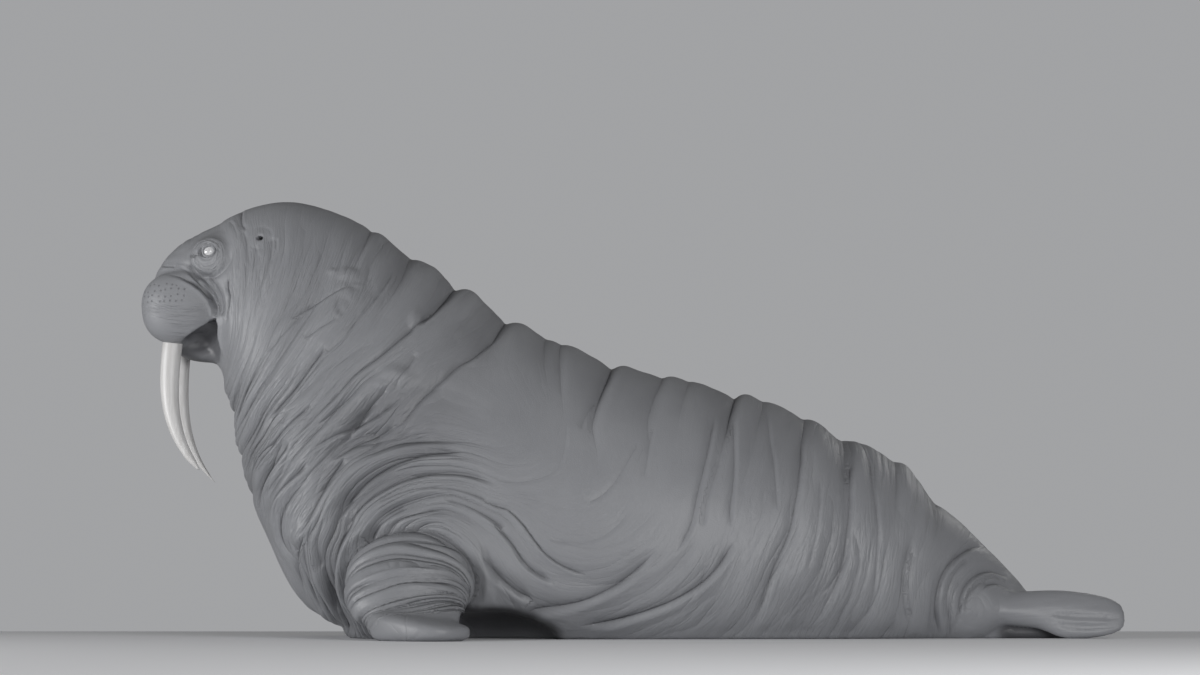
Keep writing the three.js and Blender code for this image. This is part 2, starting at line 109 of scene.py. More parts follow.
# Forelimb: stations of the sleeve with half sizes along and up, then the hand
ARM = (
    ((-0.644, -0.300, 0.216), 0.200, 0.172),
    ((-0.652, -0.430, 0.184), 0.200, 0.144),
    ((-0.654, -0.520, 0.136), 0.190, 0.108),
    ((-0.648, -0.572, 0.092), 0.168, 0.076),
    ((-0.640, -0.596, 0.062), 0.148, 0.052),
    ((-0.634, -0.606, 0.044), 0.112, 0.036),
)
ARM_LEAN = (0.4, 0.7)  # how far the oval leans outwards at the shoulder and at the wrist
ARM_LOOSE = 0.004  # how much larger the skin of the sleeve is than its stations
ARM_CAP = 14  # how blunt the ends of the sleeve are
HAND = dict(x=-0.608, y=-0.646, turn=-34, long=0.166, half=0.118, wrist=0.054, tip=0.028)
HAND_FORM = dict(round=0.5, boxy=0.8, corner=0.062, narrow=0.86, broad=1.06, groove=0.02, lift=0.86, flat=0.6)
DIGITS = 5

# The hollow under the flank behind the arm
ARM_HOLLOW = dict(x=-0.450, y=0.440, z=0.0, long=0.245, wide=0.300, high=0.080)

# Hind limb and tail
ANKLE = dict(x=1.086, y=0.164, z=0.092, long=0.128, wide=0.080, high=0.090)
SOLE_START, SOLE_END = (1.085, 0.176, 0.086), (1.588, 0.206, 0.068)
SOLE = dict(half=0.084, thick=0.052, lean=22, lobe=0.014, raised=0.60, taper=0.55, root=0.72, widen=1.4)
SOLE_LOWERED = (0.42, 0.22)  # share of the length where the raised lower edge comes down, and over how much
DIGITS_ALONG = (0.35, 0.4)  # share of the length where the digits begin to part, and over how much
DIGITS_BELOW = (0.1, 0.3)  # height below which they part, as a share of the half width, and over how much
HEEL = dict(x=1.270, y=0.105, z=0.020, long=0.190, wide=0.070, high=0.050)
TAIL = dict(start=1.230, end=1.400, half=0.066, thick=0.030, z=0.120, drop=0.030, taper=0.7)
MIDDLE = 0.3  # x that parts what is done for the forelimbs from what is done for the hind limbs

# How far an inner corner is rounded where each form joins, and the edge of the hollow
BLEND = dict(
    first=0.001, nose=0.030, jaw=0.014, lip=0.010, tail=0.030, orbit=0.034, pad=0.014, hand=0.045, sole=0.030,
    heel=0.012, hollow=0.030, forelimb=0.024, hindlimb=0.050,
)

# Points round each surface, and steps from pole to pole
GRID = dict(
    trunk=(160, 300), pad=(96, 64), jaw=(48, 40), lip=(24, 48), arm=(80, 60), hand=(120, 40), sole=(96, 70),
    tail=(48, 40), tusk=(48, 90), ball=(64, 48),
)

# Flow of the folds, in side view. Each line starts on the back, at x = its first number, and runs down the
# flank through the points that follow, x and z.
FLOW = (
    (-1.290, ((-1.29, 1.41), (-1.24, 1.25), (-1.23, 1.12), (-1.24, 0.98), (-1.27, 0.88))),
    (-1.130, ((-1.13, 1.44), (-1.11, 1.25), (-1.13, 1.11), (-1.17, 0.98), (-1.22, 0.85), (-1.26, 0.77))),
    (-0.980, ((-0.98, 1.42), (-0.98, 1.25), (-1.03, 1.07), (-1.11, 0.91), (-1.20, 0.77), (-1.26, 0.66))),
    (-0.843, ((-0.84, 1.34), (-0.88, 1.16), (-0.97, 0.97), (-1.07, 0.83), (-1.17, 0.71), (-1.25, 0.60))),
    (-0.700, ((-0.70, 1.26), (-0.75, 1.08), (-0.87, 0.90), (-1.00, 0.75), (-1.14, 0.61), (-1.22, 0.51))),
    (-0.552, ((-0.55, 1.15), (-0.71, 0.93), (-0.83, 0.82), (-0.94, 0.69), (-1.06, 0.56), (-1.15, 0.43),
        (-1.08, 0.20))),
    (-0.383, ((-0.38, 1.05), (-0.52, 0.84), (-0.61, 0.74), (-0.76, 0.61), (-0.91, 0.49), (-1.01, 0.30),
        (-0.95, 0.08))),
    (-0.205, ((-0.20, 0.97), (-0.19, 0.66), (-0.25, 0.52), (-0.38, 0.50), (-0.57, 0.54), (-0.73, 0.51),
        (-0.87, 0.32), (-0.87, 0.06))),
    (-0.033, ((-0.03, 0.90), (-0.10, 0.66), (-0.08, 0.52), (-0.13, 0.41), (-0.35, 0.44), (-0.55, 0.49),
        (-0.72, 0.44), (-0.84, 0.27))),
    (0.130, ((0.13, 0.86), (0.09, 0.49), (0.00, 0.33), (-0.17, 0.29), (-0.36, 0.40), (-0.54, 0.45),
        (-0.69, 0.41), (-0.79, 0.30))),
    (0.240, ((0.24, 0.84), (0.17, 0.42), (0.08, 0.27), (-0.14, 0.19), (-0.29, 0.24), (-0.40, 0.35),
        (-0.57, 0.41), (-0.70, 0.37))),
    (0.367, ((0.37, 0.80), (0.25, 0.42), (0.15, 0.21), (-0.08, 0.07), (-0.25, 0.07), (-0.38, 0.16),
        (-0.46, 0.29), (-0.58, 0.35))),
    (0.460, ((0.46, 0.78), (0.35, 0.43), (0.27, 0.21), (0.05, 0.02))),
    (0.597, ((0.60, 0.73), (0.52, 0.43), (0.43, 0.21), (0.34, 0.02))),
    (0.733, ((0.73, 0.66), (0.68, 0.37), (0.62, 0.15), (0.54, 0.02))),
    (0.889, ((0.89, 0.57), (0.84, 0.31), (0.80, 0.12), (0.75, 0.01))),
    (1.038, ((1.04, 0.45), (0.95, 0.24), (0.93, 0.12), (0.92, 0.01))),
    (1.150, ((1.16, 0.33), (1.04, 0.22), (0.99, 0.12), (0.99, 0.01))),
    (1.260, ((1.27, 0.21), (1.12, 0.20), (1.05, 0.12), (1.04, 0.01))),
)

FLOW_SMOOTH = 1e-4  # how much the flow may miss these points

# Creases across the back: where on the spine, how deep, and how far down the flank they keep their depth
CREASES = (
    (-0.843, 0.012, 0.14),
    (-0.700, 0.012, 0.16),
    (-0.552, 0.030, 0.13),
    (-0.383, 0.028, 0.13),
    (-0.255, 0.009, 0.10),
    (-0.205, 0.012, 0.14),
    (-0.033, 0.024, 0.20),
    (0.130, 0.012, 0.20),
    (0.215, 0.007, 0.10),
    (0.367, 0.026, 0.15),
    (0.460, 0.008, 0.14),
    (0.597, 0.013, 0.16),
    (0.733, 0.014, 0.16),
    (0.889, 0.013, 0.14),
    (1.038, 0.008, 0.10),
)
CREASE_AHEAD, CREASE_BEHIND = 0.048, 0.013  # widths of the slopes ahead of a crease and behind it
CREASE_TOP = 0.04  # how far down from the spine a crease keeps all its depth
CREASE_SWELL = (0.22, 0.045, 0.030)  # height, place and half width of the roll behind, the height as a share
CREASE_BLUNT = 0.005  # how blunt its bottom is
CREASE_LINE = 0.5  # how much of its depth the sharp line at its bottom has

# Long folds along the flow: spine place at the upper and lower end, how far down each end is, depth and width
FOLDS = (
    (-0.555, -0.575, 0.05, 0.75, 0.011, 0.008),
    (-0.780, -0.760, 0.42, 0.72, 0.014, 0.009),
    (-0.730, -0.760, 0.07, 0.48, 0.005, 0.005),
    (-0.830, -1.000, 0.22, 0.43, 0.006, 0.005),
    (-0.950, -1.020, 0.38, 0.55, 0.005, 0.005),
    (-0.810, -0.870, 0.33, 0.45, 0.005, 0.005),
    (-0.385, -0.395, 0.04, 0.52, 0.010, 0.008),
    (-0.480, -0.445, 0.26, 0.39, 0.005, 0.005),
    (-0.420, -0.490, 0.39, 0.70, 0.010, 0.008),
    (-0.400, -0.420, 0.48, 0.70, 0.010, 0.008),
    (-0.400, -0.365, 0.68, 0.98, 0.018, 0.012),
    (-0.580, -0.585, 0.73, 0.98, 0.016, 0.011),
    (-0.470, -0.510, 0.73, 0.99, 0.015, 0.010),
    (-0.640, -0.660, 0.60, 0.90, 0.012, 0.009),
    (-0.700, -0.720, 0.66, 0.92, 0.010, 0.008),
    (-0.350, -0.470, 0.98, 1.18, 0.012, 0.008),
    (-0.350, -0.390, 0.99, 1.22, 0.010, 0.007),
    (-0.330, -0.300, 0.98, 1.17, 0.008, 0.008),
    (-0.190, -0.150, 0.28, 0.69, 0.002, 0.004),
    (-0.040, -0.100, 0.15, 0.29, 0.003, 0.005),
    (0.110, -0.040, 0.25, 0.51, 0.003, 0.005),
    (0.090, 0.140, 0.48, 0.84, 0.002, 0.004),
    (0.150, 0.100, 0.19, 0.38, 0.003, 0.004),
    (0.240, 0.110, 0.80, 1.03, 0.008, 0.006),
    (0.270, 0.250, 0.93, 1.17, 0.009, 0.007),
    (0.340, 0.370, 1.06, 1.35, 0.011, 0.008),
    (0.250, 0.380, 0.59, 1.16, 0.012, 0.009),
    (0.320, 0.320, 0.09, 0.60, 0.006, 0.007),
    (0.370, 0.370, 0.24, 0.49, 0.003, 0.005),
    (0.370, 0.470, 0.08, 0.47, 0.006, 0.006),
    (0.490, 0.380, 0.49, 0.99, 0.013, 0.010),
    (0.470, 0.570, 0.03, 0.37, 0.004, 0.005),
    (0.595, 0.625, 0.06, 0.74, 0.008, 0.008),
    (0.660, 0.680, 0.20, 0.50, 0.004, 0.005),
    (0.745, 0.755, 0.05, 0.64, 0.007, 0.007),
    (0.800, 0.870, 0.02, 0.56, 0.005, 0.006),
)

# Arcs of folded skin round a centre in side view: angle and radius at one end and the other, depth and width
ARM_CENTRE = (-0.620, 0.100)
ARM_ARCS = (
    (75, 0.490, 133, 0.390, 0.016, 0.010),
    (57, 0.440, 142, 0.335, 0.010, 0.007),
    (54, 0.385, 116, 0.340, 0.006, 0.005),
    (40, 0.343, 80, 0.332, 0.007, 0.006),
    (97, 0.305, 140, 0.250, 0.009, 0.007),
    (125, 0.345, 188, 0.275, 0.018, 0.011),
)
HIND_CENTRE = (1.186, 0.100)
HIND_ARCS = (
    (145, 0.330, 190, 0.285, 0.004, 0.006),
    (142, 0.350, 192, 0.302, 0.005, 0.006),
    (92, 0.200, 207, 0.208, 0.009, 0.007),
    (115, 0.172, 200, 0.166, 0.004, 0.005),
    (50, 0.110, 205, 0.130, 0.008, 0.006),
    (60, 0.095, 200, 0.104, 0.004, 0.005),
    (30, 0.078, 225, 0.070, 0.009, 0.006),
)

# How strong the smaller folds are at places of the side view: x, z, strength
STRENGTH = (
    (-1.05, 1.42, 0.01),
    (-1.15, 1.22, 0.36),
    (-1.02, 1.26, 0.22),
    (-1.23, 1.05, 0.28),
    (-1.02, 1.02, 0.90),
    (-0.85, 1.12, 0.72),
    (-0.66, 1.10, 0.20),
    (-0.82, 0.92, 0.52),
    (-0.97, 0.80, 1.25),
    (-1.12, 0.62, 1.75),
    (-1.12, 0.38, 1.30),
    (-0.97, 0.16, 0.90),
    (-0.60, 0.80, 0.55),
    (-0.75, 0.60, 1.40),
    (-0.60, 0.44, 0.85),
    (-0.34, 0.36, 0.30),
    (-0.38, 0.75, 0.08),
    (-0.14, 0.64, 0.02),
    (-0.14, 0.44, 0.04),
    (-0.10, 0.84, 0.06),
    (0.10, 0.45, 0.03),
    (0.00, 0.20, 0.28),
    (0.20, 0.08, 0.45),
    (0.40, 0.55, 0.16),
    (0.55, 0.35, 0.38),
    (0.58, 0.12, 0.58),
    (0.85, 0.42, 0.48),
    (0.88, 0.14, 0.58),
    (1.02, 0.12, 0.52),
    (1.15, 0.22, 0.20),
)
STRENGTH_REACH = 0.13

# Bosses of thick skin on the side of the neck: x, z, half size along and across, height
BOSSES = (
    (-0.891, 1.161, 0.034, 0.024, 0.011),
    (-0.939, 1.172, 0.014, 0.010, 0.004),
    (-0.858, 1.120, 0.022, 0.010, 0.004),
    (-0.895, 1.050, 0.016, 0.022, 0.004),
    (-0.722, 0.823, 0.036, 0.024, 0.008),
    (-0.752, 0.790, 0.024, 0.012, 0.005),
    (-0.668, 1.016, 0.018, 0.028, 0.005),
)
BOSS_CALM = 0.4  # share of the folds that is left on a boss
BOSS_REACH = 3  # square of the distance at which a boss ends, in its half sizes

# Lines of the face in side view, from the rear or upper end, with depth and width. A depth below 0 turns the
# steep side of the line over.
FACE_LINES = (
    (((-1.276, 1.415), (-1.269, 1.390), (-1.263, 1.366), (-1.258, 1.349), (-1.245, 1.334),
        (-1.232, 1.320)), 0.006, 0.005),
    (((-1.308, 1.368), (-1.288, 1.348), (-1.270, 1.314), (-1.260, 1.274)), 0.003, 0.005),
    (((-1.289, 1.160), (-1.288, 1.127), (-1.279, 1.100), (-1.283, 1.067), (-1.289, 1.034),
        (-1.295, 1.001)), 0.009, 0.004),
    (((-1.334, 1.034), (-1.336, 1.064), (-1.351, 1.097), (-1.377, 1.127), (-1.411, 1.151),
        (-1.451, 1.171), (-1.530, 1.190)), 0.012, 0.006),
    (((-1.330, 1.050), (-1.343, 1.093), (-1.367, 1.130), (-1.398, 1.163), (-1.432, 1.193),
        (-1.502, 1.230)), 0.005, 0.004),
    (((-1.319, 1.037), (-1.325, 1.084), (-1.344, 1.123), (-1.371, 1.160), (-1.405, 1.193),
        (-1.476, 1.247)), 0.007, 0.005),
    (((-1.312, 1.032), (-1.305, 1.069), (-1.310, 1.102), (-1.330, 1.142), (-1.363, 1.175),
        (-1.403, 1.202)), 0.006, 0.005),
    (((-1.250, 1.326), (-1.237, 1.296), (-1.227, 1.256), (-1.218, 1.210), (-1.218, 1.157),
        (-1.225, 1.097)), 0.004, 0.005),
    (((-1.148, 1.298), (-1.145, 1.261), (-1.146, 1.221), (-1.153, 1.175), (-1.170, 1.129),
        (-1.221, 1.017)), 0.005, 0.005),
    (((-1.200, 1.270), (-1.188, 1.222), (-1.186, 1.160), (-1.192, 1.110)), 0.002, 0.004),
    (((-1.133, 1.294), (-1.129, 1.254), (-1.138, 1.208), (-1.153, 1.162)), 0.003, 0.004),
    (((-1.342, 1.036), (-1.334, 1.008), (-1.335, 0.968), (-1.325, 0.929), (-1.311, 0.889)), 0.012, 0.006),
    (((-1.338, 1.031), (-1.359, 1.005), (-1.388, 0.984), (-1.421, 0.971), (-1.445, 0.964)), -0.010, 0.006),
    (((-1.479, 1.214), (-1.509, 1.216), (-1.542, 1.224)), 0.004, 0.004),
)

# Rings round the eye: radius, height and half width. The larger ones stand lower and further back.
EYE_RINGS = (
    (0.0200, 0.0016, 0.0034),
    (0.0260, -0.0030, 0.0030),
    (0.0340, 0.0016, 0.0045),
    (0.0425, -0.0022, 0.0034),
    (0.0520, 0.0016, 0.0050),
    (0.0730, -0.0120, 0.0100),
)
EYE_TALL = 1.08  # how much less far the rings reach up and down than to the sides
EYE_SIDE = (-0.06, 0.03)  # y inside which the eye raises nothing, and over how much
RING_WOBBLE = (0.10, 0.03)  # how uneven the rings are, as a share of their radius, and the size of a wave
RING_SHIFT = (0.066, 1.5)  # radius from which a ring has the middle of the swelling, and the power before it
RING_BELOW = (0.05, 0.035, 0.07)  # radius from which a ring shows only below a height, and over how much
EYE_SWELL = (0.074, 0.013)  # radius and height of the swelling round the eye
EYE_SWELL_SHIFT = (0.002, -0.018)  # how far back and down the middle of the swelling is from the eye's
EYE_FLOW = 0.074  # how far from the eye its own fine wrinkles reach
EYE_SWELL_ENDS = (1.15, 0.55)  # where the swelling ends and over how much, in its radius
EAR_RINGS = ((0.018, 0.002, 0.008), (0.040, -0.0015, 0.005))  # radius, height and half width
EAR_SIDE = -0.1  # y outside which the rings of the ear show
PAD_BANDS = ((0.24, 0.006), (0.13, 0.004))  # widths and heights of the bands of skin behind each pad
PAD_BANDS_LONG = 0.8  # how much they change along their length
PAD_BANDS_FROM, PAD_BANDS_TO = (1.08, 0.14), (1.80, 0.35)  # where they are, in the pad's half sizes
MOUTH_HOLLOW = (-1.385, 0.975, 0.070, 0.034)  # x, z, reach and depth of the shaded hollow behind the tusks
UNDER_PAD = ((-1.340, 1.030), (-1.445, 0.964))  # the lower edge of the pad, x and z, above that hollow
CHEEK_EDGE = -1.326  # where the hollow ends at the cheek
MOUTH_SHADE, HEEL_SHADE = 0.45, 0.9  # how dark the shade painted behind the tusks and under the heel is
FLANK_SHADE_OVER = 0.035  # how far the shade painted under the flank reaches past the hollow there
PORES = (-1.505, 1.112, 0.080, 0.040)  # x, z, half length and height of the field of pores on each pad
FACE_END = -1.08  # x behind which no line of the face shows
FACE_FADES = (0.10, 0.40)  # shares of a line of the face over which it starts and runs out
HOLLOW_SOFT = 0.012  # over how much the hollow behind the tusks begins at the cheek and under the pad
HOLLOW_SIDE = (-0.030, 0.03)  # y outside which it is, and over how much

# Eyes: radius of the ball, then the lids: how far their edge stands off it, their roll and how far that falls
# off, how deep the skin lies between them, their least height at the middle, their reach and their slant
EYEBALL = 0.026
LID = dict(off=0.0035, roll=0.0055, fall=0.004, inside=0.006, least=0.014, reach=1.9, slant=0.20)
LID_ROLL, LID_FALL = (1.0, 0.35), (1.5, 0.5)  # where both begin and over how much, in sizes of the opening
LID_NEAR = (0.044, 0.014)  # how far from the eye's middle the lids end, and over how much
LID_SPACE = 0.09  # no lid is farther from the eye than this, or nearer to the middle of the head

# Ear holes and nostrils: place, half sizes, depth and the way in
OPENINGS = (
    (EAR, (0.0098, 0.05, 0.0068), 0.034, (0, 1, 0)),
    (NOSTRIL, (0.017, 0.008, 0.012), 0.014, (1.0, 0, -0.35)),
)
OPENING_RIM = (1.25, 0.6)  # where they end and over how much, in their half sizes

# Longest edges of the skin: on the floor, on the body, then ahead of an x and above a z, and at face lines
EDGE_FLOOR, EDGE_BODY = 0.024, 0.0155
EDGES_AHEAD = ((0.50, 0.012, 0.0130), (-0.38, 0.012, 0.0090), (-1.10, 0.90, 0.0080))
OFF_FLOOR = 0.012
EDGE_LINES = 0.0050

# Where the skin is finest: place on the left side, radius and length of edge
FINE_PLACES = (
    ((EYE[0] + 0.006, -0.140, EYE[2] - 0.010), 0.075, 0.0055),
    ((EYE[0], -0.150, EYE[2]), 0.046, 0.0036),
    ((EAR[0], -EAR[1], EAR[2]), 0.032, 0.0042),
    ((NOSTRIL[0], -NOSTRIL[1], NOSTRIL[2]), 0.028, 0.0042),
    ((1.110, -0.230, 0.130), 0.170, 0.0095),
)

# Folds given by noise: size across and along the flow, of the large and of the middle ones
BODY_FOLDS = ((0.115, 0.62), (0.060, 0.38))
ARM_FOLDS = ((0.052, 0.95), (0.026, 0.55))
ANKLE_FOLDS = ((0.052, 0.26), (0.028, 0.15))
FOOT_FOLDS = ((0.042, 0.36), (0.024, 0.20))
FOLD_SHARES = (1.8, 1.3)  # heights of the large and of the middle ones
SOFT, SHARP = 0.09, 0.008  # how rounded the bottoms of these folds are in the mesh, and in the material
PILLOW, PILLOW_MEAN = 0.31, 0.42  # half the power that makes swellings of noise, and their mean
LEAN = 0.3  # how far the swellings lean over
LAYERS_APART = 5  # how far apart in the noise the large and the middle folds are
SIDES_APART = 3  # how far apart in the noise the left and the right limbs are
FOLD_ACROSS = 0.7  # size of all folds of the body from side to side
WANDER = ((0.030, 0.26, 1), (0.012, 0.10, 2))  # how far the fold lines wander, over what size, and the seed
LIMB_WANDER = (0.012, 0.13)
NEAR_DRIFT = 0.25  # share of the wander that placed folds follow on the left side
PATCHES = (0.85, 0.9, 0.20)  # mean depth of the folds, how much it changes, and over what size
STRETCH = (0.8, 3)  # least and most that a stretched flow counts
STRETCH_POWER = 0.6  # how much shallower stretched folds are
ROLLS = (0.20, 0.75, 2.6)  # size of the largest rolls across and along the flow, and their height
SEEDS = dict(patches=3, folds=11, rolls=15, limbs=21, arm=22, ankle=26, foot=28, pad=31, eye=33)

# A long fold across its line, as shares of its width and depth
FOLD_SLOPES = (1.8, 0.75)  # widths of the slopes ahead of its bottom and behind it
FOLD_SWELL = (0.40, 2, 1.2)  # height, place and half width of the swelling behind it
FOLD_BLUNT = 0.0035  # how blunt its bottom is, in metres
FOLD_ENDS = 0.15  # share of the length over which each end fades
LINE_REACH = 0.030  # how far from a fold its sharp line is known
LINE_NEAR = 0.012  # distance over which a line counts less and less beside another

# Limbs: the back of the hand ends below a z and outside a y, and the foot begins behind an x
HAND_BELOW, HAND_OUTSIDE, FOOT_BEHIND = (0.115, 0.06), (-0.585, 0.07), (1.14, 0.12)
ARM_AXIS_LOW = 0.05  # how far below the arm's axis the angle round it is taken
ARM_GIRTH, ANKLE_GIRTH = 0.17, 0.1  # length of the flow for one radian round arm and ankle
RINGS = dict(arm=0.022, hand=0.001, ankle=0.002, foot=0.0015)  # depths
ARMPIT = dict(line=0.010, lip=0.014, place=0.034, half=0.020, depth=0.014, width=0.012)
ARMPIT_ABOVE = (0.05, 0.10)  # z above which the crease of the armpit begins, and over how much
SLEEVE = (0.008, 0.02)  # distance outside the join where the flow of the limb begins, and over how much

# Fine wrinkles on cheek and neck: x, z, half sizes along and up, and strength
CHEEK, CHEEK_WRINKLES = (-1.210, 1.170, 0.100, 0.150), 0.90
NECK, NECK_WRINKLES = (-0.98, 1.10, 0.20, 0.16), 0.75
ARM_WRINKLES, FOOT_WRINKLES = 0.45, 0.06
PAD_WRINKLES, PAD_WRINKLES_LOW = 0.10, 0.50
PAD_LOW = (1.100, 0.05)  # z below which the lower wrinkles of the pad begin, and over how much
PAD_EDGE = 1.12  # the pad's own wrinkles reach so far, as a share of its size
PAD_FLOW = (0.02, 0.26, 3.0, 0.5)  # middle of its flow behind and above its own, then scale across and along
EYE_WRINKLES = 0.7
EYE_SCALES = (2.4, 0.16)  # scale of the flow round the eye, across and along
EYE_FLOW_SIDE = -0.05  # y outside which it is
EYE_BARE = (0.024, 0.010)  # how far from the eye its wrinkles begin, and over how much
CHEEK_FROM_EYE = (0.075, 0.02)  # how far from the eye those of the cheek begin, and over how much
PAD_SEAM, EYE_SEAM = (0.02, 0.05), (0.006, 0.012)  # bare places where two flows meet, and over how much
CALM_PAD, CALM_EYE = (1.5, 0.5), (0.06, 0.06)  # where the folds begin off the pad, in its sizes, and the eye
LEAST_STRETCH = 0.5  # the flow counts as no more crowded than this
FLOW_THIRD = 0.4  # scale of the wrinkles from side to side
PORES_END = (1.2, 0.1)  # where the field of pores ends and over how much, in the square of its half sizes
OFF_GROUND = (0.002, 0.02)  # height over the floor where folds begin, and over how much
ON_GROUND = 0.0015  # what is lower stays flat on the floor

VOXEL = 0.0068
STRIDE = 2  # the first mesh is taken from every second voxel
SPLITS, SMOOTHINGS = 4, 2  # how often long edges are halved, and the mesh is evened out afterwards
EVENING = 0.4  # how far a point goes towards the middle of its neighbours
FLOW_STEP = 0.002  # over how much the slope of the flow is taken
TRIANGLES = 197000  # left after thinning
MOST_TRIANGLES = 199500
BAND = 9  # voxels on either side of a surface where its distance is known
CORNER = np.array([-240, -126, -12])  # index of the first voxel, in voxels
CELLS = np.array([480, 252, 237])
STEEPEST_STEP = 0.3  # least square of the field's slope that a step onto its zero level divides by
CHUNK = 20000  # points worked out at a time


# Small mathematics

SLOPES = 1024  # slopes in the table of the noise
MIXERS, SHIFT = (73856093, 19349663, 83492791), 13  # they spread the whole points over that table


def ramp(t):
    """0 below 0, 1 above 1, and the smooth cubic 3t^2 - 2t^3 between."""
    t = np.clip(t, 0, 1)
    return t * t * (3 - 2 * t)


def power(t, exponent):
    """|t| to a power, with the sign of t."""
    return np.sign(t) * np.abs(t) ** exponent


def rise(x, start, over):
    """0 up to a start, 1 from start + over on, and smooth between."""
    return ramp((x - start) / over)


def fall(x, end, over):
    """1 up to end - over, 0 from an end on, and smooth between."""
    return ramp((end - x) / over)


def mix(a, b, t):
    """a where t is 0, b where t is 1, and evenly between."""
    return a + (b - a) * t


def capped(v, sharp):
    """1 along a length, and towards each end the square root of the way that is left times sharp."""
    return np.minimum(1, np.sqrt(np.minimum(v, 1 - v) * sharp))


def spline(values, place):
    """A cubic curve through values at whole places. Each slope is half the step between the two beside it."""
    values = np.asarray(values, float)
    last = len(values) - 1
    i = np.clip(np.floor(place).astype(int), 0, last - 1)
    t = place - i
    a, b, c, d = values[np.maximum(i - 1, 0)], values[i], values[i + 1], values[np.minimum(i + 2, last)]
    return (2 * b + (c - a) * t + (2 * a - 5 * b + 4 * c - d) * t**2 + (3 * b - a - 3 * c + d) * t**3) / 2


def gradient_noise(at, seed):
    """Noise of -0.7 to 0.7 at an (n, 3) array: slopes at whole points, blended by 6t^5 - 15t^4 + 10t^3."""
    table = np.random.default_rng(seed).normal(size=(SLOPES, 3))
    table /= np.linalg.norm(table, axis=1, keepdims=True)
    whole = np.floor(at).astype(np.int64)
    part = at - whole
    fade = part**3 * (part * (part * 6 - 15) + 10)
    total = np.zeros(len(at))
    for corner in np.ndindex(2, 2, 2):
        cell = whole + corner
        key = (cell[:, 0] * MIXERS[0]) ^ (cell[:, 1] * MIXERS[1]) ^ (cell[:, 2] * MIXERS[2])
        slope = table[(key ^ (key >> SHIFT)) & (SLOPES - 1)]
        weight = np.prod(np.where(corner, fade, 1 - fade), axis=1)
        total += weight * np.sum(slope * (part - corner), axis=1)
    return total


def pillows(noise, soft):
    """Rounded swellings parted by valleys: (noise^2 + soft^2)^0.31, about 0 on average."""
    return (noise**2 + soft**2) ** PILLOW - PILLOW_MEAN


def thin_plate(knots, values, at, smoothing=0.0):
    """Values at points, from a thin plate r^2 log r bent through values at knots, with a plane under it."""

    def bend(p, q):
        r2 = ((p[:, None, :] - q[None, :, :]) ** 2).sum(-1)
        return r2 * np.log(r2 + 1e-12) / 2

    n = len(knots)
    flat = np.column_stack([np.ones(n), knots])
    matrix = np.block([[bend(knots, knots) + smoothing * np.eye(n), flat], [flat.T, np.zeros((3, 3))]])
    weights = np.linalg.solve(matrix, np.concatenate([values, np.zeros((3,) + values.shape[1:])]))
    out = np.zeros((len(at),) + values.shape[1:])
    for start in range(0, len(at), CHUNK):
        part = at[start : start + CHUNK]
        plane = np.column_stack([np.ones(len(part)), part]) @ weights[n:]
        out[start : start + CHUNK] = bend(part, knots) @ weights[:n] + plane
    return out


# Surfaces of two parameters


def signed_volume(points, triangles):
    """The volume inside a closed surface, below 0 where its faces point inwards."""
    a, b, c = (points[triangles[:, i]] for i in range(3))
    return np.sum(np.cross(a, b) * c) / 6


def closed_surface(shape, columns, rows):
    """The points shape(u, v), u going round and v from pole to pole, and outward triangles over them."""
    v, u = np.meshgrid(np.linspace(0, 1, rows + 1)[1:-1], np.arange(columns) / columns, indexing="ij")
    rings = shape(u, v).reshape(-1, 3)
    points = np.concatenate([rings, shape(np.zeros(2), np.array([0.0, 1.0]))])
    k = np.arange(len(rings)).reshape(rows - 1, columns)
    n = np.roll(k, -1, axis=1)
    a, b, c, d = (x.ravel() for x in (k[:-1], n[:-1], n[1:], k[1:]))
    pole = np.full(columns, len(rings))
    triangles = np.concatenate([
        np.stack([a, b, c], 1),
        np.stack([a, c, d], 1),
        np.stack([n[0], k[0], pole], 1),
        np.stack([k[-1], n[-1], pole + 1], 1),
    ])
    if signed_volume(points, triangles) < 0:
        triangles = triangles[:, ::-1]
    return points, triangles


def ellipsoid(form, side=1, columns=64, rows=40):
    """x and z: an ellipse of half sizes long and high times sin(pi v), tilted; y: wide times cos(pi v).

    Below 1, the form's square is the power of each sine and cosine, and fills the corners.
    """
    c, s = math.cos(form.get("tilt", 0)), math.sin(form.get("tilt", 0))

    def shape(u, v):
        square = form.get("square", 1)
        ring = np.sin(np.pi * v) ** square
        a = form["long"] * ring * power(np.cos(2 * np.pi * u), square)
        b = form["high"] * ring * power(np.sin(2 * np.pi * u), square)
        y = side * form["y"] - form["wide"] * power(np.cos(np.pi * v), square)
        return np.stack([form["x"] + a * c - b * s, y, form["z"] + a * s + b * c], -1)

    return closed_surface(shape, columns, rows)


def trunk():
    """Rings of two half superellipses, with exponent 2 above and up to 2.7 below, along the sections."""
    tops, lows, halves = zip(*SECTIONS)
    last = len(SECTIONS) - 1

    def shape(u, v):
        place = v * last
        top_x, top_z = (spline([t[i] for t in tops], place) for i in (0, 1))
        low_x, low_z = (spline([t[i] for t in lows], place) for i in (0, 1))
        half = spline(halves, place)
        body = ramp((place - FULL_FROM) / FULL_OVER)
        is_open = (v > 0) & (v < 1)
        c = np.cos(2 * np.pi * u) * is_open
        w = np.sin(2 * np.pi * u) * is_open
        exponent = np.where(c > 0, ROUND, mix(ROUND, FULL, body))
        h = power(c, 2 / exponent)
        side = power(w, 2 / exponent) * (1 - DROOP * body * h)
        x = (top_x + low_x) / 2 + (top_x - low_x) * h / 2
        z = (top_z + low_z) / 2 + (top_z - low_z) * h / 2
        return np.stack([x, half * side, np.maximum(0, z)], -1)

    return closed_surface(shape, *GRID["trunk"])


